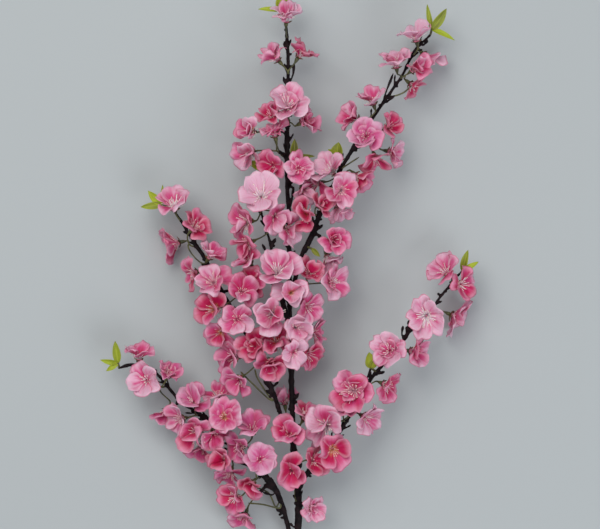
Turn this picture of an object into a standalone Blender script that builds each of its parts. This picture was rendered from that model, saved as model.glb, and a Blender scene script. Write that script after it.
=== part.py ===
"""A cherry blossom sprig, cut and laid down on a flat surface.

A dark leader carries five side branches.  Blossoms with five petals stand on thin stalks, one to four from
a spur, all along the branches, and small leaves grow at the tips.  Metres, +Z up, lying on Z = 0 with the
cut end of the stem towards -Y.
"""
import math
import random

import bmesh
import bpy
import numpy as np
from mathutils import Matrix, Vector
from mathutils.bvhtree import BVHTree

SEED = 11
ORIGIN = (-0.002146, 0.179316, 0.000140)  # the middle of the outer box, on the ground: this becomes zero
GAP = 0.0003  # clear space between the wood and what grows on it
WELD = 1e-5
UP = Vector((0, 0, 1))

# Petals
PETALS = 5
PETAL_LENGTH = 0.0205
PETAL_HALF_WIDTH = 0.0088
PETAL_THICKNESS = 0.0007
PETAL_STRAY = 0.04  # radians out of its fifth of the circle, at most
LENGTH_SPREAD = 0.06
WIDTH_SPREAD = 0.05
PETAL_CURL = math.radians(36)  # how much less a petal's tip slopes than its foot
PETAL_CUP = 0.0015  # how far a petal's sides stand above its middle
PETAL_LEANS = tuple(math.radians(a) for a in (30, 18, 42, 6, 54, 66, -8))  # the likeliest slope first
TIP_SHARE = 0.62  # half-width of a petal's faceted tip edge, as a part of its widest
TIP_ROUNDING = 0.32  # how far back a petal's corners lie, as a part of its length
FOOT_TAPER = 0.8  # power by which a petal widens from its foot
WEDGE_SHARE = 0.64  # a petal's widest half-width at a radius, as a part of it: clear of the next petal

# Blossom hearts and stalks
HEART_RADIUS = 0.0026
HEART_RISE = 0.0006
STAMEN_HEIGHT = 0.0055
CALYX_DEPTH = 0.0062
CALYX_RADIUS = 0.0017
STALK_RADIUS = 0.0009
STALK_HANDLES = (0.40, 0.24)  # how far a stalk runs straight at its foot and top, as a part of its span
STALK_SPAN = 0.023  # usual distance from a heart back to its branch
FORKS = (0.2, 0.35, 0.5)  # where along the first stalk an umbel's other stalks fork off
FORK_RADIUS = 0.0006  # a forked stalk's end, hidden inside the first stalk
WOOD_CLEARANCE = 0.0045  # nearest that a calyx comes to a branch

# Wood
SPUR_SHARE = 0.5  # how much of the way to its blossoms a spur reaches
SPUR_STUB = 0.002  # how far the shortest spur stands out of its branch
SPUR_RADIUS = 0.0015
SPUR_LIFT = 0.4  # how much further up a spur with several blossoms points
SPUR_SET = 0.25  # how far a spur is set square to its branch
PEG_SIDES = 4
PEG_TAPER = (0.85, 0.55)  # the tips of spurs and of buds, as a part of their feet
PEG_SHARE = 0.92  # the thickest spur, as a part of its branch's radius
BUD_SPACING = 0.030
BUD_START = 0.4  # where the first bud stands, short of one spacing
BUD_LENGTH = 0.0052
BUD_RADIUS = 0.0014
BUD_LEAN = (0.9, 0.3)  # along its branch and upwards, against one part sideways
BUD_CLEARANCE = 0.009  # nearest that a bud comes to a spur
BUD_LOWEST = 0.0  # the bare stem below this has no buds
JOINT_SWELL = 1.15
LEADER_ROUNDING = 2  # eight sides
BRANCH_ROUNDING = 1  # six sides

# Leaves
LEAF_THICKNESS = 0.0007
LEAF_FOLD = 0.35  # rise of a leaf's edges, as a part of its half-width
LEAF_DROOP = 0.12  # fall of a leaf's tip, as a part of its length
LEAF_ROOT = 0.06  # how far a leaf starts inside its stalk, as a part of its length
LEAF_CORNERS = 6
LEAF_STALK_RADIUS = 0.0010
LEAF_STALK_SWELL = 1.2
LEAF_STALK_REACH = 0.001  # how far the stalk runs on into its blades

# Bending the petals clear of each other and of the wood
REACH = 0.0062  # petals nearer than this push each other away
NEIGHBOUR_RANGE = 0.050  # between two hearts
WOOD_RANGE = 0.032  # between a heart and the wood
WOOD_WEIGHT = 4.0
STALK_WEIGHT = 1.5
GROUND_MARGIN = 0.0012
LEAN_DISLIKE = 0.25  # what each less likely slope costs
SPINS = tuple(math.tau / PETALS * k / 4 for k in range(4))
SWEEPS = 3
PROBES = [g.ravel() for g in np.meshgrid((-0.8, 0.0, 0.8), (0.35, 0.6, 0.8, 1.0))]  # across and along

# Branches: radius at the foot, radius at the tip, and the points that each runs through.
BRANCHES = {
    "leader": (0.0033, 0.0014, [
        (0.005, -0.090, 0.0034), (0.005, -0.035, 0.012), (0.005, 0.000, 0.018), (0.005, 0.030, 0.024),
        (0.001, 0.068, 0.030), (0.000, 0.108, 0.034), (-0.001, 0.142, 0.036), (-0.002, 0.180, 0.036),
        (-0.0025, 0.215, 0.036), (-0.003, 0.258, 0.036), (-0.004, 0.291, 0.035), (-0.004, 0.323, 0.034),
        (-0.004, 0.360, 0.033), (-0.003, 0.393, 0.032), (-0.005, 0.421, 0.033)]),
    "left_low": (0.0022, 0.0010, [
        (0.005, -0.035, 0.012), (-0.004, 0.000, 0.016), (-0.012, 0.029, 0.024), (-0.028, 0.049, 0.032),
        (-0.043, 0.056, 0.034), (-0.050, 0.066, 0.034), (-0.058, 0.081, 0.034), (-0.077, 0.095, 0.034),
        (-0.093, 0.105, 0.032), (-0.103, 0.117, 0.030), (-0.118, 0.133, 0.028), (-0.132, 0.136, 0.028),
        (-0.146, 0.133, 0.028)]),
    "left_high": (0.0022, 0.0010, [
        (0.001, 0.068, 0.030), (-0.007, 0.088, 0.036), (-0.017, 0.117, 0.044), (-0.030, 0.148, 0.046),
        (-0.047, 0.178, 0.044), (-0.058, 0.198, 0.042), (-0.074, 0.228, 0.036), (-0.084, 0.242, 0.032),
        (-0.097, 0.263, 0.028), (-0.105, 0.270, 0.026)]),
    "inner": (0.0020, 0.0010, [
        (-0.0015, 0.162, 0.036), (-0.007, 0.187, 0.044), (-0.013, 0.206, 0.050), (-0.017, 0.223, 0.052),
        (-0.018, 0.238, 0.052), (-0.023, 0.253, 0.050), (-0.026, 0.267, 0.048)]),
    "right_high": (0.0022, 0.0010, [
        (-0.002, 0.191, 0.036), (0.008, 0.227, 0.042), (0.019, 0.251, 0.042), (0.030, 0.278, 0.040),
        (0.048, 0.313, 0.040), (0.067, 0.342, 0.038), (0.082, 0.364, 0.036), (0.093, 0.380, 0.034),
        (0.101, 0.398, 0.032), (0.116, 0.413, 0.032)]),
    "right_low": (0.0022, 0.0010, [
        (0.005, 0.030, 0.024), (0.013, 0.046, 0.032), (0.028, 0.064, 0.036), (0.044, 0.087, 0.036),
        (0.063, 0.120, 0.034), (0.077, 0.138, 0.034), (0.094, 0.158, 0.032), (0.104, 0.175, 0.032),
        (0.117, 0.184, 0.030), (0.128, 0.198, 0.030), (0.141, 0.213, 0.030)]),
}

# Umbels: the branch, and for each blossom its heart's place, the way that it faces, and its size.
UMBELS = [
    ("leader", [(-0.005, 0.423, 0.042, 0.0, 0.88, 0.45, 0.95)]),
    ("leader", [(-0.011, 0.391, 0.037, -0.65, 0.7, 0.25, 0.84), (0.004, 0.394, 0.034, 0.5, 0.85, 0.1, 0.84)]),
    ("leader", [(-0.004, 0.351, 0.049, 0.0, 0.5, 0.86, 1.05), (0.008, 0.339, 0.038, 0.75, 0.4, 0.3, 0.84)]),
    ("leader", [(-0.016, 0.343, 0.044, -0.3, 0.55, 0.75, 0.75),
                (-0.032, 0.331, 0.044, -0.5, 0.0, 0.85, 0.88)]),
    ("leader", [(-0.033, 0.314, 0.043, -0.5, -0.2, 0.8, 0.95),
                (-0.014, 0.327, 0.052, -0.2, 0.85, 0.3, 0.79)]),
    ("leader", [(-0.015, 0.303, 0.046, -0.4, 0.0, 0.9, 0.84), (0.005, 0.300, 0.054, 0.15, 0.1, 0.98, 0.79),
                (0.009, 0.284, 0.042, 0.4, -0.6, 0.6, 0.79)]),
    ("leader", [(-0.001, 0.197, 0.066, 0.05, 0.1, 0.98, 0.97), (0.011, 0.186, 0.056, 0.5, -0.2, 0.85, 0.84)]),
    ("leader", [(0.002, 0.168, 0.064, 0.15, -0.2, 0.97, 1.0), (0.016, 0.163, 0.044, 0.85, 0.1, 0.4, 0.75)]),
    ("leader", [(-0.012, 0.155, 0.060, -0.3, 0.0, 0.93, 0.92), (0.001, 0.149, 0.071, 0.1, -0.3, 0.95, 0.74),
                (0.012, 0.147, 0.050, 0.65, -0.4, 0.6, 0.79)]),
    ("leader", [(-0.006, 0.103, 0.022, -0.1, 0.9, 0.1, 0.75)]),
    ("leader", [(-0.002, 0.079, 0.052, -0.05, 0.4, 0.9, 0.92), (0.010, 0.092, 0.044, 0.4, 0.7, 0.5, 0.84),
                (0.016, 0.080, 0.036, 0.7, -0.1, 0.6, 0.79)]),
    ("leader", [(0.000, 0.050, 0.050, -0.05, -0.15, 0.97, 1.01),
                (0.016, 0.057, 0.044, 0.6, 0.0, 0.75, 0.88)]),
    ("leader", [(0.014, 0.017, 0.028, 0.5, -0.2, 0.8, 0.75)]),
    ("inner", [(-0.025, 0.275, 0.066, -0.1, 0.35, 0.93, 1.2), (-0.015, 0.261, 0.060, 0.3, -0.5, 0.75, 0.88),
               (-0.035, 0.256, 0.056, -0.75, -0.1, 0.55, 1.0)]),
    ("inner", [(-0.005, 0.250, 0.054, 0.7, -0.2, 0.6, 0.84),
               (-0.034, 0.239, 0.058, -0.75, -0.35, 0.5, 0.84)]),
    ("inner", [(-0.012, 0.212, 0.068, 0.1, 0.5, 0.85, 1.15), (-0.035, 0.221, 0.056, -0.6, 0.6, 0.5, 0.79),
               (-0.032, 0.206, 0.052, -0.6, 0.1, 0.8, 0.79)]),
    ("inner", [(-0.015, 0.180, 0.068, -0.05, -0.1, 0.98, 1.15)]),
    ("right_high", [(0.104, 0.407, 0.040, -0.2, 0.93, 0.35, 0.95)]),
    ("right_high", [(0.110, 0.398, 0.0168, 0.5, -0.7, 0.0, 0.95)]),
    ("right_high", [(0.087, 0.385, 0.044, -0.15, 0.85, 0.5, 0.92),
                    (0.099, 0.383, 0.040, 0.5, 0.4, 0.65, 0.88),
                    (0.099, 0.372, 0.030, 0.7, -0.6, 0.2, 0.75)]),
    ("right_high", [(0.068, 0.354, 0.044, -0.3, 0.85, 0.4, 0.84),
                    (0.055, 0.341, 0.044, -0.8, 0.3, 0.5, 0.84)]),
    ("right_high", [(0.062, 0.326, 0.054, -0.1, 0.15, 0.97, 0.92),
                    (0.069, 0.311, 0.044, 0.3, -0.75, 0.5, 0.88),
                    (0.081, 0.315, 0.036, 0.85, -0.2, 0.4, 0.75),
                    (0.079, 0.334, 0.043, 0.65, 0.25, 0.7, 0.79)]),
    ("right_high", [(0.034, 0.297, 0.050, -0.5, 0.5, 0.7, 0.95),
                    (0.023, 0.289, 0.038, -0.9, -0.1, 0.35, 0.88),
                    (0.053, 0.295, 0.046, 0.65, -0.6, 0.35, 0.88)]),
    ("right_high", [(0.040, 0.282, 0.053, 0.2, 0.05, 0.97, 1.0),
                    (0.038, 0.269, 0.044, 0.25, -0.75, 0.5, 0.79)]),
    ("right_high", [(0.013, 0.262, 0.054, -0.25, 0.1, 0.95, 0.92),
                    (0.026, 0.268, 0.046, 0.5, 0.2, 0.8, 0.79)]),
    ("right_high", [(0.034, 0.241, 0.048, 0.3, 0.0, 0.95, 0.84),
                    (0.029, 0.228, 0.038, 0.3, -0.85, 0.2, 0.79)]),
    ("right_high", [(0.031, 0.205, 0.046, 0.75, 0.0, 0.65, 0.92),
                    (0.014, 0.212, 0.048, 0.3, 0.5, 0.7, 0.79)]),
    ("left_high", [(-0.098, 0.267, 0.038, -0.15, 0.75, 0.6, 1.0)]),
    ("left_high", [(-0.083, 0.250, 0.038, 0.55, 0.6, 0.5, 0.88),
                   (-0.095, 0.239, 0.018, -0.9, -0.2, 0.0, 1.0),
                   (-0.069, 0.226, 0.046, 0.5, 0.7, 0.5, 0.79)]),
    ("left_high", [(-0.064, 0.204, 0.054, -0.1, 0.35, 0.93, 1.0),
                   (-0.080, 0.214, 0.040, -0.8, -0.3, 0.4, 0.79)]),
    ("left_high", [(-0.063, 0.183, 0.054, -0.35, -0.05, 0.93, 0.97),
                   (-0.042, 0.197, 0.058, 0.2, 0.25, 0.95, 0.88)]),
    ("left_high", [(-0.058, 0.165, 0.048, -0.5, -0.4, 0.75, 0.84),
                   (-0.045, 0.175, 0.060, -0.05, -0.1, 0.98, 0.88)]),
    ("left_high", [(-0.030, 0.152, 0.056, -0.15, 0.05, 0.97, 0.92),
                   (-0.046, 0.143, 0.048, -0.75, 0.0, 0.6, 0.88)]),
    ("left_high", [(-0.018, 0.140, 0.060, 0.15, -0.45, 0.88, 0.92),
                   (-0.043, 0.126, 0.050, -0.6, -0.4, 0.7, 0.88)]),
    ("left_low", [(-0.128, 0.141, 0.034, -0.05, 0.93, 0.2, 0.79)]),
    ("left_low", [(-0.120, 0.124, 0.045, -0.3, 0.05, 0.95, 0.92),
                  (-0.104, 0.127, 0.037, 0.35, 0.75, 0.5, 0.75),
                  (-0.105, 0.098, 0.028, -0.4, -0.85, 0.2, 0.84)]),
    ("left_low", [(-0.081, 0.104, 0.044, 0.0, 0.65, 0.75, 0.92),
                  (-0.091, 0.092, 0.042, -0.7, -0.1, 0.65, 0.79)]),
    ("left_low", [(-0.079, 0.081, 0.048, -0.2, -0.25, 0.95, 1.05),
                  (-0.066, 0.080, 0.046, 0.2, -0.6, 0.75, 0.84),
                  (-0.076, 0.069, 0.034, -0.2, -0.9, 0.2, 0.85)]),
    ("left_low", [(-0.061, 0.108, 0.038, -0.1, 0.85, 0.45, 0.84),
                  (-0.056, 0.093, 0.054, 0.05, 0.15, 0.98, 1.01)]),
    ("left_low", [(-0.033, 0.081, 0.048, 0.05, 0.75, 0.6, 0.97),
                  (-0.042, 0.070, 0.048, -0.4, -0.2, 0.85, 0.79)]),
    ("left_low", [(-0.056, 0.057, 0.042, -0.5, 0.0, 0.8, 0.84),
                  (-0.051, 0.047, 0.036, -0.25, -0.85, 0.4, 0.79)]),
    ("left_low", [(-0.027, 0.058, 0.052, 0.1, 0.25, 0.95, 0.92),
                  (-0.033, 0.038, 0.042, -0.3, -0.5, 0.8, 0.79),
                  (-0.046, 0.026, 0.032, -0.5, 0.0, 0.85, 0.88)]),
    ("left_low", [(-0.039, 0.011, 0.026, -0.3, -0.85, 0.35, 0.84)]),
    ("right_low", [(0.130, 0.213, 0.040, -0.55, 0.5, 0.6, 0.92),
                   (0.139, 0.204, 0.037, 0.7, 0.0, 0.55, 0.88)]),
    ("right_low", [(0.112, 0.178, 0.046, -0.05, -0.1, 0.98, 1.1),
                   (0.134, 0.178, 0.0165, 0.9, -0.4, 0.0, 1.0)]),
    ("right_low", [(0.082, 0.148, 0.050, -0.25, 0.3, 0.92, 0.97),
                   (0.099, 0.148, 0.038, 0.8, -0.15, 0.45, 0.88)]),
    ("right_low", [(0.052, 0.116, 0.054, -0.25, -0.05, 0.96, 1.1),
                   (0.076, 0.121, 0.040, 0.75, -0.3, 0.5, 0.88)]),
    ("right_low", [(0.059, 0.094, 0.042, 0.7, -0.4, 0.55, 0.88),
                   (0.029, 0.087, 0.056, -0.25, 0.1, 0.96, 1.15),
                   (0.044, 0.098, 0.046, 0.2, 0.6, 0.75, 0.75)]),
    ("right_low", [(0.033, 0.068, 0.054, 0.2, -0.25, 0.95, 1.01)]),
]

# Leaves: the branch, the tuft's foot, and for each leaf its direction, length and half-width.
LEAF_TUFTS = [
    ("leader", (-0.010, 0.433, 0.033), [(-0.98, 0.2, 0.1, 0.019, 0.0020), (0.05, 1.0, 0.1, 0.017, 0.0038),
                                        (0.6, 0.8, 0.0, 0.016, 0.0026)]),
    ("leader", (-0.024, 0.300, 0.034), [(-0.85, 0.55, 0.2, 0.015, 0.0036), (0.3, 0.9, 0.3, 0.012, 0.0032)]),
    ("leader", (0.001, 0.310, 0.040), [(0.15, 1.0, 0.3, 0.016, 0.0030), (0.98, 0.1, 0.1, 0.019, 0.0018)]),
    ("right_high", (0.117, 0.4175, 0.032), [(-0.25, 0.95, 0.1, 0.022, 0.0020),
                                            (0.66, 0.75, 0.2, 0.022, 0.0036),
                                            (0.93, -0.3, 0.1, 0.022, 0.0021)]),
    ("right_high", (0.038, 0.311, 0.043), [(0.0, 0.9, 0.3, 0.012, 0.0048), (-0.75, 0.55, 0.2, 0.010, 0.0022)]),
    ("right_high", (0.0165, 0.2335, 0.046), [(0.76, -0.65, 0.3, 0.010, 0.0020)]),
    ("right_low", (0.143, 0.215, 0.030), [(0.16, 0.98, 0.2, 0.019, 0.0028), (0.88, 0.48, 0.1, 0.016, 0.0022)]),
    ("right_low", (0.066, 0.134, 0.038), [(-0.1, 0.95, 0.3, 0.014, 0.0044), (0.5, 0.8, 0.2, 0.010, 0.0028)]),
    ("left_high", (-0.109, 0.271, 0.026), [(-0.79, 0.62, 0.2, 0.017, 0.0034), (-0.98, -0.2, 0.1, 0.019, 0.0028),
                                           (0.05, 1.0, 0.1, 0.017, 0.0016)]),
    ("left_low", (-0.146, 0.138, 0.030), [(-0.08, 1.0, 0.2, 0.019, 0.0032), (-1.0, 0.05, 0.2, 0.0155, 0.0023),
                                          (-0.82, -0.57, 0.1, 0.0125, 0.0022)]),
    ("left_low", (-0.058, 0.074, 0.036), [(-0.88, -0.42, 0.3, 0.015, 0.0026)]),
]


# ---------------------------------------------------------------- where things grow

def unit(vector):
    return Vector(vector).normalized()


def nearest_on_branch(branch, place):
    """The point of a branch nearest to a place, with the branch's direction and radius there."""
    foot_radius, tip_radius, points = BRANCHES[branch]
    points = [Vector(p) for p in points]
    spans = [(b - a).length for a, b in zip(points, points[1:])]
    run = 0.0
    best = None
    for a, b, span in zip(points, points[1:], spans):
        share = min(1.0, max(0.0, (place - a).dot(b - a) / span ** 2))
        spot = a.lerp(b, share)
        distance = (place - spot).length
        if best is None or distance < best[0]:
            along = (run + share * span) / sum(spans)
            best = (distance, spot, (b - a) / span, foot_radius + (tip_radius - foot_radius) * along)
        run += span
    return best[1:]


def point_along(branch, distance):
    """The point of a branch at a distance from its foot, with the branch's direction and radius there."""
    foot_radius, tip_radius, points = BRANCHES[branch]
    points = [Vector(p) for p in points]
    length = sum((b - a).length for a, b in zip(points, points[1:]))
    radius = foot_radius + (tip_radius - foot_radius) * distance / length
    for a, b in zip(points, points[1:]):
        span = (b - a).length
        if distance <= span:
            break
        distance -= span
    return a.lerp(b, min(1.0, distance / span)), (b - a) / span, radius


def clear_of_wood(heart, facing):
    """The heart's place, moved up and off any branch that its calyx would touch."""
    for _ in range(8):
        for branch in BRANCHES:
            calyx = heart - facing * CALYX_DEPTH
            spot, _, radius = nearest_on_branch(branch, calyx)
            short = WOOD_CLEARANCE + radius - (calyx - spot).length
            if short > 0:
                heart = heart + unit(unit(calyx - spot) + UP) * short
    return heart


class Blossom:
    """A blossom's place, the frame that its petals stand in, and the stalk that carries it."""

    def __init__(self, x, y, z, nx, ny, nz, size, draw):
        self.facing = unit((nx, ny, nz))
        self.heart = clear_of_wood(Vector((x, y, z)), self.facing)
        self.size = size
        self.frame = self.facing.to_track_quat("Z", "Y").to_matrix()
        self.petals = [Petal(k, self, draw) for k in range(PETALS)]
        self.spin = draw.choice(SPINS)
        self.foot = None
        self.foot_radius = STALK_RADIUS
        self.outwards = None

    def stalk_point(self, share):
        """A point of the stalk's middle line: 0 at the spur, 1 under the calyx."""
        top = self.heart - self.facing * CALYX_DEPTH
        span = (top - self.foot).length
        low = self.foot + self.outwards * span * STALK_HANDLES[0]
        high = top - self.facing * span * STALK_HANDLES[1]
        back = 1 - share
        return (self.foot * back ** 3 + low * (3 * share * back ** 2)
                + high * (3 * share ** 2 * back) + top * share ** 3)


class Umbel:
    """The blossoms that one spur carries."""

    def __init__(self, branch, rows, draw):
        self.branch = branch
        self.blossoms = [Blossom(*row, draw) for row in rows]
        self.base, along, self.radius = nearest_on_branch(branch, self.middle(STALK_SPAN))
        lean = unit(self.middle(CALYX_DEPTH) - self.base)
        if len(rows) > 1:
            lean = unit(lean + UP * SPUR_LIFT)
        self.outwards = unit(lean - along * (SPUR_SET * lean.dot(along)))
        reach = SPUR_SHARE * (self.middle(CALYX_DEPTH) - self.base).length
        self.spur_end = self.base + self.outwards * max(self.radius + SPUR_STUB, reach)
        self.blossoms.sort(key=lambda b: -unit(b.heart - self.base).dot(self.outwards))
        carrier, *others = self.blossoms
        carrier.foot = self.spur_end + self.outwards * GAP
        carrier.outwards = self.outwards
        for fork, blossom in zip(FORKS, others):
            blossom.foot = carrier.foot.lerp(carrier.stalk_point(1.0), fork)
            blossom.outwards = unit(unit(blossom.heart - blossom.foot) + self.outwards)
            blossom.foot_radius = FORK_RADIUS

    def middle(self, depth):
        """The middle of the points at a depth behind the blossoms' hearts."""
        points = [b.heart - b.facing * depth for b in self.blossoms]
        return sum(points, Vector()) / len(points)


# ---------------------------------------------------------------- petals

def petal_points(lean, length, half_width, across, along):
    """Points of a petal's middle surface with the petal along +X and the heart at the origin.

    across runs from -1 to 1 over the petal's width and along from 0 at the foot to 1 at the tip.
    """
    slope = lean + PETAL_CURL / 2
    run = length * along * (1 - TIP_ROUNDING * across ** 4)
    turned = slope - PETAL_CURL * run / length
    out = length * (math.sin(slope) - np.sin(turned)) / PETAL_CURL
    up = length * (np.cos(turned) - math.cos(slope)) / PETAL_CURL
    cup = PETAL_CUP * across ** 2 * along
    out = out - cup * np.sin(turned)
    room = np.maximum(WEDGE_SHARE * out - PETAL_THICKNESS, HEART_RADIUS / 2)
    side = np.clip(half_width * across * along ** FOOT_TAPER, -room, room)
    return np.stack([out, side, up + cup * np.cos(turned)], axis=-1)


class Petal:
    """A petal's own draw: its place round the heart, its length and its width."""

    def __init__(self, number, blossom, draw):
        self.blossom = blossom
        self.azimuth = number * math.tau / PETALS + draw.uniform(-PETAL_STRAY, PETAL_STRAY)
        self.length = PETAL_LENGTH * blossom.size * draw.uniform(1 - LENGTH_SPREAD, 1 + LENGTH_SPREAD)
        self.half_width = PETAL_HALF_WIDTH * blossom.size * draw.uniform(1 - WIDTH_SPREAD, 1 + WIDTH_SPREAD)
        self.lean = PETAL_LEANS[0]

    def points(self, spin, lean, across, along):
        local = petal_points(lean, self.length, self.half_width, across, along)
        turn = self.blossom.frame @ Matrix.Rotation(spin + self.azimuth, 3, "Z")
        return local @ np.array(turn).T + np.array(self.blossom.heart)

    def point(self, across, along):
        grid = np.array([across]), np.array([along])
        return Vector(self.points(self.blossom.spin, self.lean, *grid)[0])


# ---------------------------------------------------------------- bending petals clear

def crowding(points, others, radii, weights):
    """How hard each set of points is pushed by the points around it and by the ground."""
    apart = np.linalg.norm(points[..., None, :] - others, axis=-1) - radii
    push = np.clip(1 - apart / REACH, 0, 2) ** 2 * weights
    sunk = np.clip(1 - points[..., 2] / GROUND_MARGIN, 0, None) ** 2 * WOOD_WEIGHT
    return push.sum(axis=(-1, -2)) + sunk.sum(axis=-1)


def standing_points(umbels):
    """Points along the wood, leaves, stalks and calyxes: place, radius, weight and blossom number."""
    rows = []
    for foot_radius, tip_radius, points in BRANCHES.values():
        for a, b in zip(points, points[1:]):
            a, b = Vector(a), Vector(b)
            steps = max(2, round((b - a).length / REACH * 2))
            radius = (foot_radius + tip_radius) / 2
            rows += [(*a.lerp(b, k / steps), radius, WOOD_WEIGHT, -1) for k in range(steps)]
    for umbel in umbels:
        rows += [(*umbel.base.lerp(umbel.spur_end, k / 3), SPUR_RADIUS, WOOD_WEIGHT, -1) for k in range(4)]
    for _, foot, leaves in LEAF_TUFTS:
        for *direction, length, half_width in leaves:
            reach = unit(direction) * length
            rows += [(*(Vector(foot) + reach * k / 4), half_width, WOOD_WEIGHT, -1) for k in range(5)]
    for number, blossom in enumerate(b for u in umbels for b in u.blossoms):
        rows += [(*blossom.stalk_point(k / 6), STALK_RADIUS, STALK_WEIGHT, number) for k in range(7)]
        for depth in (-0.6, 0.0, 0.6):
            spot = blossom.heart + blossom.facing * (depth * CALYX_DEPTH)
            rows.append((*spot, CALYX_RADIUS, STALK_WEIGHT, number))
    return np.array(rows)


def settle_petals(umbels):
    """Turns each blossom, and lifts or lowers each of its petals, to where it is least crowded."""
    blossoms = [b for u in umbels for b in u.blossoms]
    fixed = standing_points(umbels)
    hearts = np.array([b.heart for b in blossoms])
    dislike = LEAN_DISLIKE * np.arange(len(PETAL_LEANS))[:, None]
    placed = [np.stack([p.points(b.spin, p.lean, *PROBES) for p in b.petals]) for b in blossoms]
    for i, blossom in list(enumerate(blossoms)) * SWEEPS:
        away = np.linalg.norm(hearts - hearts[i], axis=1)
        petals = [placed[j].reshape(-1, 3) for j in np.flatnonzero(away < NEIGHBOUR_RANGE) if j != i]
        petals = np.concatenate(petals) if petals else np.zeros((0, 3))
        near = (np.linalg.norm(fixed[:, :3] - hearts[i], axis=1) < WOOD_RANGE) & (fixed[:, 5] != i)
        others = np.concatenate([fixed[near, :3], petals])
        radii = np.concatenate([fixed[near, 3], np.zeros(len(petals))])
        weights = np.concatenate([fixed[near, 4], np.ones(len(petals))])
        options = []
        for spin in SPINS:
            trial = np.stack([[p.points(spin, lean, *PROBES) for p in blossom.petals]
                              for lean in PETAL_LEANS])
            cost = crowding(trial, others, radii, weights) + dislike
            options.append((cost.min(axis=0).sum(), spin, cost.argmin(axis=0)))
        _, blossom.spin, choice = min(options, key=lambda option: option[0])
        for petal, k in zip(blossom.petals, choice):
            petal.lean = PETAL_LEANS[k]
        placed[i] = np.stack([p.points(blossom.spin, p.lean, *PROBES) for p in blossom.petals])


# ---------------------------------------------------------------- blossoms as solids

def extrude_edge(bm, edge, places):
    """Extrudes an edge, puts its two new ends at their places, and returns the new far edge."""
    made = bmesh.ops.extrude_edge_only(bm, edges=[edge])["geom"]
    ends = [v for v in made if isinstance(v, bmesh.types.BMVert)]
    ends = [min(ends, key=lambda v: (v.co - start.co).length) for start in edge.verts]
    for start, end in zip(edge.verts, ends):
        end.co = places[start]
    return bm.edges.get(ends), dict(zip(edge.verts, ends))


def blossom_solid(blossom):
    """One closed solid: five petals round a heart, on a calyx and a stalk that ends at the spur."""
    bm = bmesh.new()
    ring = bmesh.ops.create_circle(bm, cap_ends=True, segments=PETALS, radius=HEART_RADIUS)["verts"]
    for k, vert in enumerate(ring):
        turn = blossom.spin + (k - 0.5) * math.tau / PETALS
        spot = Vector((HEART_RADIUS * math.cos(turn), HEART_RADIUS * math.sin(turn), HEART_RISE))
        vert.co = blossom.heart + blossom.frame @ spot
    for petal, right, left in zip(blossom.petals, ring, ring[1:] + ring[:1]):
        foot = bm.edges.get((right, left))
        wide, ends = extrude_edge(bm, foot, {right: petal.point(-1, 1), left: petal.point(1, 1)})
        tip = {ends[right]: petal.point(-TIP_SHARE, 1), ends[left]: petal.point(TIP_SHARE, 1)}
        extrude_edge(bm, wide, tip)
    bmesh.ops.triangulate(bm, faces=[f for f in bm.faces if len(f.verts) != PETALS])
    bmesh.ops.recalc_face_normals(bm, faces=bm.faces[:])
    bmesh.ops.solidify(bm, geom=bm.faces[:], thickness=PETAL_THICKNESS)
    bmesh.ops.recalc_face_normals(bm, faces=bm.faces[:])
    hearts = [f for f in bm.faces if len(f.verts) == PETALS]
    under, over = sorted(hearts, key=lambda f: f.calc_center_median().dot(blossom.facing))
    crown = bmesh.ops.poke(bm, faces=[over])["verts"][0]
    crown.co = blossom.heart + blossom.facing * STAMEN_HEIGHT
    grow_stalk(bm, under, blossom)
    bmesh.ops.triangulate(bm, faces=[f for f in bm.faces if len(f.verts) > 3])
    return bm


def grow_stalk(bm, face, blossom):
    """Extrudes the calyx and the stalk from the face under a blossom down to its spur."""
    centre = face.calc_center_median()
    frame = blossom.frame
    arms = [frame.transposed() @ (v.co - centre) for v in face.verts]
    angles = [math.atan2(arm.y, arm.x) for arm in arms]
    heading = -blossom.facing
    top = blossom.stalk_point(1.0)
    bend = unit(heading + unit(blossom.foot - top))
    rings = ((top, STALK_RADIUS, bend), (blossom.foot, blossom.foot_radius, -blossom.outwards))
    for place, radius, direction in rings:
        frame = heading.rotation_difference(direction).to_matrix() @ frame
        heading = direction
        face = bmesh.ops.extrude_discrete_faces(bm, faces=[face])["faces"][0]
        for vert, angle in zip(face.verts, angles):
            vert.co = place + frame @ Vector((radius * math.cos(angle), radius * math.sin(angle), 0.0))


# ---------------------------------------------------------------- wood

def branch_mesh(branch):
    """One branch as a tapering tube, thicker at its joints, as a closed mesh."""
    foot_radius, tip_radius, points = BRANCHES[branch]
    curve = bpy.data.curves.new(branch, "CURVE")
    curve.dimensions = "3D"
    curve.bevel_depth = 1.0
    curve.bevel_resolution = LEADER_ROUNDING if branch == "leader" else BRANCH_ROUNDING
    curve.use_fill_caps = True
    spline = curve.splines.new("POLY")
    spline.points.add(len(points) - 1)
    for k, (point, place) in enumerate(zip(spline.points, points)):
        share = k / (len(points) - 1)
        swell = JOINT_SWELL if k % 2 else 1.0
        point.co = (*place, 1.0)
        point.radius = (foot_radius + (tip_radius - foot_radius) * share) * swell
    tube = bpy.data.objects.new(branch, curve)
    bpy.context.scene.collection.objects.link(tube)
    bpy.context.view_layer.update()
    mesh = bpy.data.meshes.new_from_object(tube.evaluated_get(bpy.context.evaluated_depsgraph_get()))
    bpy.data.objects.remove(tube)
    bm = bmesh.new()
    bm.from_mesh(mesh)
    bpy.data.meshes.remove(mesh)
    bmesh.ops.remove_doubles(bm, verts=bm.verts[:], dist=WELD)
    bmesh.ops.recalc_face_normals(bm, faces=bm.faces[:])
    return bm


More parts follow.
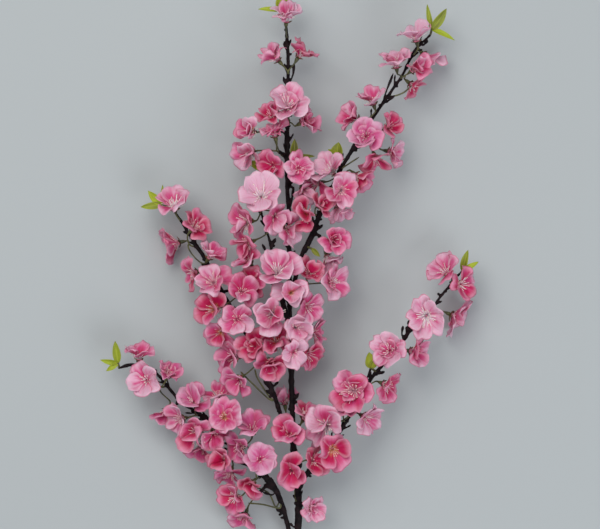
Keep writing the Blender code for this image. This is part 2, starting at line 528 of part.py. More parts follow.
def peg(start, end, start_radius, end_radius):
    """A four-sided peg from one place to another."""
    bm = bmesh.new()
    turn = (end - start).to_track_quat("Z", "Y").to_matrix().to_4x4()
    bmesh.ops.create_cone(bm, cap_ends=True, segments=PEG_SIDES, radius1=start_radius, radius2=end_radius,
                          depth=(end - start).length,
                          matrix=Matrix.Translation((start + end) / 2) @ turn)
    return bm


def bud_pegs(umbels):
    """Small dark buds on alternate sides of every branch, between the spurs."""
    pegs = []
    for branch, (_, _, points) in BRANCHES.items():
        length = sum((Vector(b) - Vector(a)).length for a, b in zip(points, points[1:]))
        bases = [u.base for u in umbels if u.branch == branch]
        bases += [nearest_on_branch(branch, Vector(foot))[0] for b, foot, _ in LEAF_TUFTS if b == branch]
        count = int(length / BUD_SPACING)
        for k in range(1, count + 1):
            spot, along, radius = point_along(branch, (k - BUD_START) * BUD_SPACING)
            if min((spot - b).length for b in bases) < BUD_CLEARANCE or spot.y < BUD_LOWEST:
                continue
            side = unit(along.cross(UP)) * (1 if k % 2 else -1)
            lean = unit(side + along * BUD_LEAN[0] + UP * BUD_LEAN[1])
            pegs.append(peg(spot, spot + lean * (radius + BUD_LENGTH), BUD_RADIUS, BUD_RADIUS * PEG_TAPER[1]))
    return pegs


def wood_mesh(umbels):
    """Every branch, spur and bud joined into one body."""
    pieces = [branch_mesh(branch) for branch in BRANCHES]
    for umbel in umbels:
        radius = min(SPUR_RADIUS, umbel.radius * PEG_SHARE)
        pieces.append(peg(umbel.base, umbel.spur_end, radius, radius * PEG_TAPER[0]))
    return join(pieces + bud_pegs(umbels))


# ---------------------------------------------------------------- leaves

def leaf_mesh(foot, direction, length, half_width):
    """A folded, drooping blade on its foot."""
    bm = bmesh.new()
    bmesh.ops.create_circle(bm, cap_ends=True, cap_tris=True, segments=LEAF_CORNERS, radius=1.0)
    frame = direction.to_track_quat("X", "Z").to_matrix()
    for vert in bm.verts:
        along, across = (vert.co.y + 1) / 2, vert.co.x
        rise = half_width * LEAF_FOLD * abs(across) - length * LEAF_DROOP * along ** 2
        side = half_width * across / math.sin(math.tau / LEAF_CORNERS)
        local = Vector((length * (along - LEAF_ROOT), side, rise))
        vert.co = foot + frame @ local
    bmesh.ops.recalc_face_normals(bm, faces=bm.faces[:])
    bmesh.ops.solidify(bm, geom=bm.faces[:], thickness=LEAF_THICKNESS)
    bmesh.ops.recalc_face_normals(bm, faces=bm.faces[:])
    return bm


def tuft_pieces(branch, foot, leaves):
    """The blades of a leaf tuft and the short stalk that they grow from, just clear of the wood."""
    foot = Vector(foot)
    base, _, radius = nearest_on_branch(branch, foot)
    outwards = unit(foot - base)
    start = base + outwards * (radius + GAP * 2)
    top = foot + outwards * LEAF_STALK_REACH
    pieces = [peg(start, top, LEAF_STALK_RADIUS, LEAF_STALK_RADIUS * LEAF_STALK_SWELL)]
    for *direction, length, half_width in leaves:
        pieces.append(leaf_mesh(foot, unit(direction), length, half_width))
    return pieces


# ---------------------------------------------------------------- joining and naming

def mesh_object(bm, name, collection):
    mesh = bpy.data.meshes.new(name)
    bm.to_mesh(mesh)
    bm.free()
    piece = bpy.data.objects.new(name, mesh)
    collection.objects.link(piece)
    return piece


def join(pieces):
    """One body from several that cross, by a Boolean union on a collection of them."""
    if len(pieces) == 1:
        return pieces[0]
    scene = bpy.context.scene
    body = mesh_object(pieces[0], "body", scene.collection)
    others = bpy.data.collections.new("others")
    scene.collection.children.link(others)
    for number, piece in enumerate(pieces[1:]):
        mesh_object(piece, f"other_{number}", others)
    union = body.modifiers.new("union", "BOOLEAN")
    union.operation = "UNION"
    union.operand_type = "COLLECTION"
    union.collection = others
    union.solver = "MANIFOLD"  # the exact solver leaves open edges where thin stalks fork
    bpy.context.view_layer.update()
    mesh = bpy.data.meshes.new_from_object(body.evaluated_get(bpy.context.evaluated_depsgraph_get()))
    for piece in list(others.objects) + [body]:
        bpy.data.objects.remove(piece)
    bpy.data.collections.remove(others)
    bm = bmesh.new()
    bm.from_mesh(mesh)
    bpy.data.meshes.remove(mesh)
    bmesh.ops.dissolve_degenerate(bm, dist=WELD / 10, edges=bm.edges[:])
    bmesh.ops.triangulate(bm, faces=[f for f in bm.faces if len(f.verts) > 3])
    return bm


def material(name, color, roughness):
    made = bpy.data.materials.new(name)
    made.use_nodes = True
    shader = made.node_tree.nodes["Principled BSDF"]
    shader.inputs["Base Color"].default_value = (*color, 1.0)
    shader.inputs["Roughness"].default_value = roughness
    return made


def crossing_groups(umbels, solids):
    """Umbels in groups of those whose solids cross."""
    trees = [[BVHTree.FromBMesh(bm) for bm in pieces] for pieces in solids]
    group = list(range(len(umbels)))
    for i in range(len(umbels)):
        for j in range(i):
            if group[i] != group[j] and any(a.overlap(b) for a in trees[i] for b in trees[j]):
                group = [group[j] if g == group[i] else g for g in group]
    return [[k for k in range(len(umbels)) if group[k] == g] for g in sorted(set(group))]


def finish(bm, name, collection, look):
    """Moves a finished body to the sprig's origin and gives it its name and material."""
    bmesh.ops.translate(bm, verts=bm.verts[:], vec=-Vector(ORIGIN))
    piece = mesh_object(bm, name, collection)
    piece.data.materials.append(look)
    return piece


def main():
    for old in list(bpy.data.objects):
        bpy.data.objects.remove(old)
    sprig = bpy.data.collections.new("cherry_blossom_sprig")
    bpy.context.scene.collection.children.link(sprig)
    bark = material("bark", (0.030, 0.016, 0.015), 0.75)
    petal = material("petals", (0.80, 0.28, 0.42), 0.65)
    leaf = material("leaves", (0.20, 0.26, 0.04), 0.6)

    draw = random.Random(SEED)
    umbels = [Umbel(*row, draw) for row in UMBELS]
    settle_petals(umbels)
    finish(wood_mesh(umbels), "branches", sprig, bark)

    solids = [[blossom_solid(b) for b in umbel.blossoms] for umbel in umbels]
    counts = {}
    for group in crossing_groups(umbels, solids):
        branch = umbels[group[0]].branch
        counts[branch] = counts.get(branch, 0) + 1
        body = join([piece for k in group for piece in solids[k]])
        finish(body, f"blossoms_{branch}_{counts[branch]}", sprig, petal)
    counts = {}
    for branch, foot, leaves in LEAF_TUFTS:
        counts[branch] = counts.get(branch, 0) + 1
        finish(join(tuft_pieces(branch, foot, leaves)), f"leaves_{branch}_{counts[branch]}", sprig, leaf)


if __name__ == "__main__":
    main()
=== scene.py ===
"""The looks of a cherry blossom sprig of silk and dark moulded wood, lying on a pale surface.

The wood, the stalks, the petals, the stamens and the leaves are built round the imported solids, from the same
lines of growth: every blossom stands where its solid stands and every petal leans as its solid leans.
"""
import math
import random

import bmesh
import bpy
import numpy as np
from mathutils import Matrix, Vector, noise


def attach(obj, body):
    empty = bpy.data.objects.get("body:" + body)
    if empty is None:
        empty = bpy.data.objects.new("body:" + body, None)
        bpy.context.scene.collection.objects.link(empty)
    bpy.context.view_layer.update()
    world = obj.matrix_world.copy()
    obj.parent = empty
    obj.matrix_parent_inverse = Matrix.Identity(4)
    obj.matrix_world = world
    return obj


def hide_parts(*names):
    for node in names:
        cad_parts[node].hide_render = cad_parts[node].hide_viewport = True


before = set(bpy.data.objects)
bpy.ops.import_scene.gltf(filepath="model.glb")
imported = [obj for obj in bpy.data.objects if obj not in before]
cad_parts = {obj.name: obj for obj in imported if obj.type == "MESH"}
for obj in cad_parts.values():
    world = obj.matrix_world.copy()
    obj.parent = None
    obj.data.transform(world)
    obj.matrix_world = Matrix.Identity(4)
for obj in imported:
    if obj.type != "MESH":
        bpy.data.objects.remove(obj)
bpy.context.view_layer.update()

# ---- the sprig's own measures, as its solids have them

SEED = 11
ORIGIN = (-0.002146, 0.179316, 0.000140)  # the middle of the outer box, on the ground: this becomes zero
GAP = 0.0003  # clear space between the wood and what grows on it
MERGE_DISTANCE = 1e-6
UP = Vector((0, 0, 1))

PETALS = 5
PETAL_LENGTH = 0.0205
PETAL_HALF_WIDTH = 0.0088
PETAL_THICKNESS = 0.0007
PETAL_STRAY = 0.04  # radians out of its fifth of the circle, at most
LENGTH_SPREAD = 0.06
WIDTH_SPREAD = 0.05
PETAL_CURL = math.radians(36)  # how much less a petal's tip slopes than its foot
PETAL_CUP = 0.0015  # how far a petal's sides stand above its middle
PETAL_LEANS = tuple(math.radians(a) for a in (30, 18, 42, 6, 54, 66, -8))  # the likeliest slope first
TIP_ROUNDING = 0.32  # how far back a petal's corners lie, as a part of its length
FOOT_TAPER = 0.8  # power by which a petal widens from its foot
WEDGE_SHARE = 0.64  # a petal's widest half-width at a radius, as a part of it: clear of the next petal

HEART_RADIUS = 0.0026
CALYX_DEPTH = 0.0062
CALYX_RADIUS = 0.0017
STALK_RADIUS = 0.0009
STALK_HANDLES = (0.40, 0.24)  # how far a stalk runs straight at its foot and top, as a part of its span
STALK_SPAN = 0.023  # usual distance from a heart back to its branch
FORKS = (0.2, 0.35, 0.5)  # where along the first stalk an umbel's other stalks fork off
WOOD_CLEARANCE = 0.0045  # nearest that a calyx comes to a branch
CLEARING_ROUNDS = 8

SPUR_SHARE = 0.5  # how much of the way to its blossoms a spur reaches
SPUR_STUB = 0.002  # how far the shortest spur stands out of its branch
SPUR_RADIUS = 0.0015
SPUR_LIFT = 0.4  # how much further up a spur with several blossoms points
SPUR_SET = 0.25  # how far a spur is set square to its branch
BUD_SPACING = 0.030
BUD_START = 0.4  # where the first bud stands, short of one spacing
BUD_LENGTH = 0.0052
BUD_RADIUS = 0.0014
BUD_LEAN = (0.9, 0.3)  # along its branch and upwards, against one part sideways
BUD_CLEARANCE = 0.009  # nearest that a bud comes to a spur
BUD_LOWEST = 0.0  # the bare stem below this has no buds

REACH = 0.0062  # petals nearer than this push each other away
NEIGHBOUR_RANGE = 0.050  # between two hearts
WOOD_RANGE = 0.032  # between a heart and the wood
WOOD_WEIGHT = 4.0
STALK_WEIGHT = 1.5
GROUND_MARGIN = 0.0012
LEAN_DISLIKE = 0.25  # what each less likely slope costs
SPINS = tuple(math.tau / PETALS * k / 4 for k in range(4))
SWEEPS = 3
PROBES = [g.ravel() for g in np.meshgrid((-0.8, 0.0, 0.8), (0.35, 0.6, 0.8, 1.0))]  # across and along

# Branches: radius at the foot, radius at the tip, and the points that each runs through.
BRANCHES = {
    "leader": (0.0033, 0.0014, [
        (0.005, -0.090, 0.0034), (0.005, -0.035, 0.012), (0.005, 0.000, 0.018), (0.005, 0.030, 0.024),
        (0.001, 0.068, 0.030), (0.000, 0.108, 0.034), (-0.001, 0.142, 0.036), (-0.002, 0.180, 0.036),
        (-0.0025, 0.215, 0.036), (-0.003, 0.258, 0.036), (-0.004, 0.291, 0.035), (-0.004, 0.323, 0.034),
        (-0.004, 0.360, 0.033), (-0.003, 0.393, 0.032), (-0.005, 0.421, 0.033)]),
    "left_low": (0.0022, 0.0010, [
        (0.005, -0.035, 0.012), (-0.004, 0.000, 0.016), (-0.012, 0.029, 0.024), (-0.028, 0.049, 0.032),
        (-0.043, 0.056, 0.034), (-0.050, 0.066, 0.034), (-0.058, 0.081, 0.034), (-0.077, 0.095, 0.034),
        (-0.093, 0.105, 0.032), (-0.103, 0.117, 0.030), (-0.118, 0.133, 0.028), (-0.132, 0.136, 0.028),
        (-0.146, 0.133, 0.028)]),
    "left_high": (0.0022, 0.0010, [
        (0.001, 0.068, 0.030), (-0.007, 0.088, 0.036), (-0.017, 0.117, 0.044), (-0.030, 0.148, 0.046),
        (-0.047, 0.178, 0.044), (-0.058, 0.198, 0.042), (-0.074, 0.228, 0.036), (-0.084, 0.242, 0.032),
        (-0.097, 0.263, 0.028), (-0.105, 0.270, 0.026)]),
    "inner": (0.0020, 0.0010, [
        (-0.0015, 0.162, 0.036), (-0.007, 0.187, 0.044), (-0.013, 0.206, 0.050), (-0.017, 0.223, 0.052),
        (-0.018, 0.238, 0.052), (-0.023, 0.253, 0.050), (-0.026, 0.267, 0.048)]),
    "right_high": (0.0022, 0.0010, [
        (-0.002, 0.191, 0.036), (0.008, 0.227, 0.042), (0.019, 0.251, 0.042), (0.030, 0.278, 0.040),
        (0.048, 0.313, 0.040), (0.067, 0.342, 0.038), (0.082, 0.364, 0.036), (0.093, 0.380, 0.034),
        (0.101, 0.398, 0.032), (0.116, 0.413, 0.032)]),
    "right_low": (0.0022, 0.0010, [
        (0.005, 0.030, 0.024), (0.013, 0.046, 0.032), (0.028, 0.064, 0.036), (0.044, 0.087, 0.036),
        (0.063, 0.120, 0.034), (0.077, 0.138, 0.034), (0.094, 0.158, 0.032), (0.104, 0.175, 0.032),
        (0.117, 0.184, 0.030), (0.128, 0.198, 0.030), (0.141, 0.213, 0.030)]),
}

# Umbels by branch, and for each blossom its heart's place, the way that it faces, its size, how deep its pink
# is, and what is special about it: d double, w long white stamens, y yellow heart, o orange heart, m mauve.
UMBELS = {
    "leader": [
        [(-0.005, 0.423, 0.042, 0, 0.88, 0.45, 0.95, 0.25, "w")],
        [(-0.011, 0.391, 0.037, -0.65, 0.7, 0.25, 0.84, 0.5, ""),
         (0.004, 0.394, 0.034, 0.5, 0.85, 0.1, 0.84, 0.85, "")],
        [(-0.004, 0.351, 0.049, 0, 0.5, 0.86, 1.05, 0.2, "w"),
         (0.008, 0.339, 0.038, 0.75, 0.4, 0.3, 0.84, 0.6, "")],
        [(-0.016, 0.343, 0.044, -0.3, 0.55, 0.75, 0.75, 0.9, ""),
         (-0.032, 0.331, 0.044, -0.5, 0, 0.85, 0.88, 0.4, "y")],
        [(-0.033, 0.314, 0.043, -0.5, -0.2, 0.8, 0.95, 0.35, "w"),
         (-0.014, 0.327, 0.052, -0.2, 0.85, 0.3, 0.79, 0.45, "")],
        [(-0.015, 0.303, 0.046, -0.4, 0, 0.9, 0.84, 0.9, ""),
         (0.005, 0.3, 0.054, 0.15, 0.1, 0.98, 0.79, 0.5, "d"),
         (0.009, 0.284, 0.042, 0.4, -0.6, 0.6, 0.79, 0.12, "")],
        [(-0.001, 0.197, 0.066, 0.05, 0.1, 0.98, 0.97, 0.15, "y"),
         (0.011, 0.186, 0.056, 0.5, -0.2, 0.85, 0.84, 0.4, "")],
        [(0.002, 0.168, 0.064, 0.15, -0.2, 0.97, 1, 0.1, "w"),
         (0.016, 0.163, 0.044, 0.85, 0.1, 0.4, 0.75, 0.5, "")],
        [(-0.012, 0.155, 0.06, -0.3, 0, 0.93, 0.92, 0.8, "o"),
         (0.001, 0.149, 0.071, 0.1, -0.3, 0.95, 0.74, 0.2, ""),
         (0.012, 0.147, 0.05, 0.65, -0.4, 0.6, 0.79, 0.85, "")],
        [(-0.006, 0.103, 0.022, -0.1, 0.9, 0.1, 0.75, 0.58, "")],
        [(-0.002, 0.079, 0.052, -0.05, 0.4, 0.9, 0.92, 0.68, ""),
         (0.01, 0.092, 0.044, 0.4, 0.7, 0.5, 0.84, 0.88, ""),
         (0.016, 0.08, 0.036, 0.7, -0.1, 0.6, 0.79, 0.53, "m")],
        [(0, 0.05, 0.05, -0.05, -0.15, 0.97, 1.01, 0.83, ""),
         (0.016, 0.057, 0.044, 0.6, 0, 0.75, 0.88, 0.93, "")],
        [(0.014, 0.017, 0.028, 0.5, -0.2, 0.8, 0.75, 0.16, "")],
    ],
    "inner": [
        [(-0.025, 0.275, 0.066, -0.1, 0.35, 0.93, 1.2, 0.1, "w"),
         (-0.015, 0.261, 0.06, 0.3, -0.5, 0.75, 0.88, 0.45, ""),
         (-0.035, 0.256, 0.056, -0.75, -0.1, 0.55, 1, 0.6, "w")],
        [(-0.005, 0.25, 0.054, 0.7, -0.2, 0.6, 0.84, 0.35, ""),
         (-0.034, 0.239, 0.058, -0.75, -0.35, 0.5, 0.84, 0.8, "")],
        [(-0.012, 0.212, 0.068, 0.1, 0.5, 0.85, 1.15, 0.3, "w"),
         (-0.035, 0.221, 0.056, -0.6, 0.6, 0.5, 0.79, 0.6, ""),
         (-0.032, 0.206, 0.052, -0.6, 0.1, 0.8, 0.79, 0.85, "")],
        [(-0.015, 0.18, 0.068, -0.05, -0.1, 0.98, 1.15, 0.45, "w")],
    ],
    "right_high": [
        [(0.104, 0.407, 0.04, -0.2, 0.93, 0.35, 0.95, 0.08, "w")],
        [(0.11, 0.398, 0.0168, 0.5, -0.7, 0, 0.95, 0.45, "")],
        [(0.087, 0.385, 0.044, -0.15, 0.85, 0.5, 0.92, 0.25, ""),
         (0.099, 0.383, 0.04, 0.5, 0.4, 0.65, 0.88, 0.55, ""),
         (0.099, 0.372, 0.03, 0.7, -0.6, 0.2, 0.75, 0.9, "")],
        [(0.068, 0.354, 0.044, -0.3, 0.85, 0.4, 0.84, 0.35, ""),
         (0.055, 0.341, 0.044, -0.8, 0.3, 0.5, 0.84, 0.6, "")],
        [(0.062, 0.326, 0.054, -0.1, 0.15, 0.97, 0.92, 0.35, "m"),
         (0.069, 0.311, 0.044, 0.3, -0.75, 0.5, 0.88, 0.85, ""),
         (0.081, 0.315, 0.036, 0.85, -0.2, 0.4, 0.75, 0.3, ""),
         (0.079, 0.334, 0.043, 0.65, 0.25, 0.7, 0.79, 0.95, "")],
        [(0.034, 0.297, 0.05, -0.5, 0.5, 0.7, 0.95, 0.15, "w"),
         (0.023, 0.289, 0.038, -0.9, -0.1, 0.35, 0.88, 0.75, ""),
         (0.053, 0.295, 0.046, 0.65, -0.6, 0.35, 0.88, 0.85, "")],
        [(0.04, 0.282, 0.053, 0.2, 0.05, 0.97, 1, 0.5, "w"),
         (0.038, 0.269, 0.044, 0.25, -0.75, 0.5, 0.79, 0.05, "")],
        [(0.013, 0.262, 0.054, -0.25, 0.1, 0.95, 0.92, 1, "o"),
         (0.026, 0.268, 0.046, 0.5, 0.2, 0.8, 0.79, 0.95, "")],
        [(0.034, 0.241, 0.048, 0.3, 0, 0.95, 0.84, 0.5, "d"),
         (0.029, 0.228, 0.038, 0.3, -0.85, 0.2, 0.79, 0.2, "")],
        [(0.031, 0.205, 0.046, 0.75, 0, 0.65, 0.92, 0.45, "d"),
         (0.014, 0.212, 0.048, 0.3, 0.5, 0.7, 0.79, 0.95, "")],
    ],
    "left_high": [
        [(-0.098, 0.267, 0.038, -0.15, 0.75, 0.6, 1, 0.33, "w")],
        [(-0.083, 0.25, 0.038, 0.55, 0.6, 0.5, 0.88, 0.98, ""),
         (-0.095, 0.239, 0.018, -0.9, -0.2, 0, 1, 0.63, ""),
         (-0.069, 0.226, 0.046, 0.5, 0.7, 0.5, 0.79, 0.48, "")],
        [(-0.064, 0.204, 0.054, -0.1, 0.35, 0.93, 1, 0.48, "w"),
         (-0.08, 0.214, 0.04, -0.8, -0.3, 0.4, 0.79, 0.88, "")],
        [(-0.063, 0.183, 0.054, -0.35, -0.05, 0.93, 0.97, 0.93, "y"),
         (-0.042, 0.197, 0.058, 0.2, 0.25, 0.95, 0.88, 0.48, "")],
        [(-0.058, 0.165, 0.048, -0.5, -0.4, 0.75, 0.84, 0.73, "y"),
         (-0.045, 0.175, 0.06, -0.05, -0.1, 0.98, 0.88, 0.38, "")],
        [(-0.03, 0.152, 0.056, -0.15, 0.05, 0.97, 0.92, 1, ""),
         (-0.046, 0.143, 0.048, -0.75, 0, 0.6, 0.88, 0.88, "m")],
        [(-0.018, 0.14, 0.06, 0.15, -0.45, 0.88, 0.92, 0.88, ""),
         (-0.043, 0.126, 0.05, -0.6, -0.4, 0.7, 0.88, 0.68, "m")],
    ],
    "left_low": [
        [(-0.128, 0.141, 0.034, -0.05, 0.93, 0.2, 0.79, 0.63, "")],
        [(-0.12, 0.124, 0.045, -0.3, 0.05, 0.95, 0.92, 0.25, ""),
         (-0.104, 0.127, 0.037, 0.35, 0.75, 0.5, 0.75, 0.73, "m"),
         (-0.105, 0.098, 0.028, -0.4, -0.85, 0.2, 0.84, 0.63, "m")],
        [(-0.081, 0.104, 0.044, 0, 0.65, 0.75, 0.92, 0.48, "m"),
         (-0.091, 0.092, 0.042, -0.7, -0.1, 0.65, 0.79, 0.38, "")],
        [(-0.079, 0.081, 0.048, -0.2, -0.25, 0.95, 1.05, 0.68, "w"),
         (-0.066, 0.08, 0.046, 0.2, -0.6, 0.75, 0.84, 0.63, ""),
         (-0.076, 0.069, 0.034, -0.2, -0.9, 0.2, 0.85, 0.63, "m")],
        [(-0.061, 0.108, 0.038, -0.1, 0.85, 0.45, 0.84, 0.53, ""),
         (-0.056, 0.093, 0.054, 0.05, 0.15, 0.98, 1.01, 0.53, "dy")],
        [(-0.033, 0.081, 0.048, 0.05, 0.75, 0.6, 0.97, 0.63, "m"),
         (-0.042, 0.07, 0.048, -0.4, -0.2, 0.85, 0.79, 0.63, "m")],
        [(-0.056, 0.057, 0.042, -0.5, 0, 0.8, 0.84, 0.93, ""),
         (-0.051, 0.047, 0.036, -0.25, -0.85, 0.4, 0.79, 0.58, "m")],
        [(-0.027, 0.058, 0.052, 0.1, 0.25, 0.95, 0.92, 0.33, "m"),
         (-0.033, 0.038, 0.042, -0.3, -0.5, 0.8, 0.79, 0.98, ""),
         (-0.046, 0.026, 0.032, -0.5, 0, 0.85, 0.88, 0.78, "")],
        [(-0.039, 0.011, 0.026, -0.3, -0.85, 0.35, 0.84, 0.73, "")],
    ],
    "right_low": [
        [(0.13, 0.213, 0.04, -0.55, 0.5, 0.6, 0.92, 0.5, ""),
         (0.139, 0.204, 0.037, 0.7, 0, 0.55, 0.88, 0.8, "")],
        [(0.112, 0.178, 0.046, -0.05, -0.1, 0.98, 1.1, 0.3, "w"),
         (0.134, 0.178, 0.0165, 0.9, -0.4, 0, 1, 0.35, "")],
        [(0.082, 0.148, 0.05, -0.25, 0.3, 0.92, 0.97, 0.35, ""),
         (0.099, 0.148, 0.038, 0.8, -0.15, 0.45, 0.88, 0.6, "")],
        [(0.052, 0.116, 0.054, -0.25, -0.05, 0.96, 1.1, 0.6, "dw"),
         (0.076, 0.121, 0.04, 0.75, -0.3, 0.5, 0.88, 0.65, "")],
        [(0.059, 0.094, 0.042, 0.7, -0.4, 0.55, 0.88, 0.35, ""),
         (0.029, 0.087, 0.056, -0.25, 0.1, 0.96, 1.15, 0.38, "w"),
         (0.044, 0.098, 0.046, 0.2, 0.6, 0.75, 0.75, 0.73, "m")],
        [(0.033, 0.068, 0.054, 0.2, -0.25, 0.95, 1.01, 0.88, "y")],
    ],
}

# Leaf tufts by branch: the tuft's foot, and for each leaf its direction, length and half-width.
LEAF_TUFTS = {
    "leader": [
        ((-0.01, 0.433, 0.033), [(-0.98, 0.2, 0.1, 0.019, 0.002), (0.05, 1.0, 0.1, 0.017, 0.0038),
            (0.6, 0.8, 0.0, 0.016, 0.0026)]),
        ((-0.024, 0.3, 0.034), [(-0.85, 0.55, 0.2, 0.015, 0.0036), (0.3, 0.9, 0.3, 0.012, 0.0032)]),
        ((0.001, 0.31, 0.04), [(0.15, 1.0, 0.3, 0.016, 0.003), (0.98, 0.1, 0.1, 0.019, 0.0018)]),
    ],
    "right_high": [
        ((0.117, 0.4175, 0.032), [(-0.25, 0.95, 0.1, 0.022, 0.002), (0.66, 0.75, 0.2, 0.022, 0.0036),
            (0.93, -0.3, 0.1, 0.022, 0.0021)]),
        ((0.038, 0.311, 0.043), [(0.0, 0.9, 0.3, 0.012, 0.0048), (-0.75, 0.55, 0.2, 0.01, 0.0022)]),
        ((0.0165, 0.2335, 0.046), [(0.76, -0.65, 0.3, 0.01, 0.002)]),
    ],
    "right_low": [
        ((0.143, 0.215, 0.03), [(0.16, 0.98, 0.2, 0.019, 0.0028), (0.88, 0.48, 0.1, 0.016, 0.0022)]),
        ((0.066, 0.134, 0.038), [(-0.1, 0.95, 0.3, 0.014, 0.0044), (0.5, 0.8, 0.2, 0.01, 0.0028)]),
    ],
    "left_high": [
        ((-0.109, 0.271, 0.026), [(-0.79, 0.62, 0.2, 0.017, 0.0034), (-0.98, -0.2, 0.1, 0.019, 0.0028),
            (0.05, 1.0, 0.1, 0.017, 0.0016)]),
    ],
    "left_low": [
        ((-0.146, 0.138, 0.03), [(-0.08, 1.0, 0.2, 0.019, 0.0032), (-1.0, 0.05, 0.2, 0.0155, 0.0023),
            (-0.82, -0.57, 0.1, 0.0125, 0.0022)]),
        ((-0.058, 0.074, 0.036), [(-0.88, -0.42, 0.3, 0.015, 0.0026)]),
    ],
}

rng = random.Random(SEED + 1)  # draws what the solids don't share
noise.seed_set(SEED)  # the branches wander the same way each time


# ---- where things grow

def unit(vector):
    return Vector(vector).normalized()


def spans(points):
    """The straight pieces between a line's points: start, end and length."""
    points = [Vector(p) for p in points]
    return [(a, b, (b - a).length) for a, b in zip(points, points[1:])]


def branch_length(branch):
    return sum(length for _, _, length in spans(BRANCHES[branch][2]))


def nearest_on_branch(branch, place):
    """The point of a branch nearest to a place, with the branch's direction and radius there."""
    foot_radius, tip_radius, points = BRANCHES[branch]
    length = branch_length(branch)
    run = 0.0
    best = None
    for a, b, span in spans(points):
        share = min(1.0, max(0.0, (place - a).dot(b - a) / span ** 2))
        spot = a.lerp(b, share)
        distance = (place - spot).length
        if best is None or distance < best[0]:
            along = (run + share * span) / length
            best = (distance, spot, (b - a) / span, foot_radius + (tip_radius - foot_radius) * along)
        run += span
    return best[1:]


def point_along(branch, distance):
    """The point of a branch at a distance from its foot, with the branch's direction and radius there."""
    foot_radius, tip_radius, points = BRANCHES[branch]
    radius = foot_radius + (tip_radius - foot_radius) * distance / branch_length(branch)
    for a, b, span in spans(points):
        if distance <= span:
            break
        distance -= span
    return a.lerp(b, min(1.0, distance / span)), (b - a) / span, radius


def clear_of_wood(heart, facing):
    """The heart's place, moved up and off any branch that its calyx would touch."""
    for _ in range(CLEARING_ROUNDS):
        for branch in BRANCHES:
            calyx = heart - facing * CALYX_DEPTH
            spot, _, radius = nearest_on_branch(branch, calyx)
            short = WOOD_CLEARANCE + radius - (calyx - spot).length
            if short > 0:
                heart = heart + unit(unit(calyx - spot) + UP) * short
    return heart


class Blossom:
    """A blossom's place, the frame that its petals stand in, and the stalk that carries it."""

    def __init__(self, x, y, z, nx, ny, nz, size, tone, marks, draw):
        self.facing = unit((nx, ny, nz))
        self.heart = clear_of_wood(Vector((x, y, z)), self.facing)
        self.size = size
        self.tone = tone
        self.marks = marks
        self.frame = self.facing.to_track_quat("Z", "Y").to_matrix()
        self.petals = [Petal(k, self, draw) for k in range(PETALS)]
        self.spin = draw.choice(SPINS)
        self.foot = None
        self.outwards = None

    def stalk_point(self, share):
        """A point of the stalk's middle line: 0 at the spur, 1 under the calyx."""
        top = self.heart - self.facing * CALYX_DEPTH
        span = (top - self.foot).length
        low = self.foot + self.outwards * span * STALK_HANDLES[0]
        high = top - self.facing * span * STALK_HANDLES[1]
        back = 1 - share
        return (self.foot * back ** 3 + low * (3 * share * back ** 2)
                + high * (3 * share ** 2 * back) + top * share ** 3)

    def facing_turn(self, azimuth):
        """The turn that points +X from the heart to an azimuth round it."""
        return self.frame @ Matrix.Rotation(azimuth, 3, "Z")


class Umbel:
    """The blossoms that one spur carries."""

    def __init__(self, branch, rows, draw):
        self.branch = branch
        self.blossoms = [Blossom(*row, draw) for row in rows]
        self.base, along, self.radius = nearest_on_branch(branch, self.middle(STALK_SPAN))
        lean = unit(self.middle(CALYX_DEPTH) - self.base)
        if len(rows) > 1:
            lean = unit(lean + UP * SPUR_LIFT)
        self.outwards = unit(lean - along * (SPUR_SET * lean.dot(along)))
        reach = SPUR_SHARE * (self.middle(CALYX_DEPTH) - self.base).length
        self.spur_end = self.base + self.outwards * max(self.radius + SPUR_STUB, reach)
        self.blossoms.sort(key=lambda b: -unit(b.heart - self.base).dot(self.outwards))
        carrier, *others = self.blossoms
        carrier.foot = self.spur_end + self.outwards * GAP
        carrier.outwards = self.outwards
        for fork, blossom in zip(FORKS, others):
            blossom.foot = carrier.foot.lerp(carrier.stalk_point(1.0), fork)
            blossom.outwards = unit(unit(blossom.heart - blossom.foot) + self.outwards)

    def middle(self, depth):
        """The middle of the points at a depth behind the blossoms' hearts."""
        points = [b.heart - b.facing * depth for b in self.blossoms]
        return sum(points, Vector()) / len(points)

    def fork_stalks(self):
        """Moves the feet of the other stalks onto the bend of the first one."""
        carrier, *others = self.blossoms
        for fork, blossom in zip(FORKS, others):
            blossom.foot = carrier.stalk_point(fork)


def curled(slope, curl, length, run):
    """The side view of a blade that curls down evenly: its slope, and how far out and up it has come."""
    turned = slope - curl * run / length
    out = length * (math.sin(slope) - np.sin(turned)) / curl
    up = length * (np.cos(turned) - math.cos(slope)) / curl
    return turned, out, up


def placed(place, turn, *local):
    """A blade's points, moved from its own frame, where it runs along +X from the origin, to the sprig's."""
    return np.stack(local, axis=-1) @ np.array(turn).T + np.array(place)


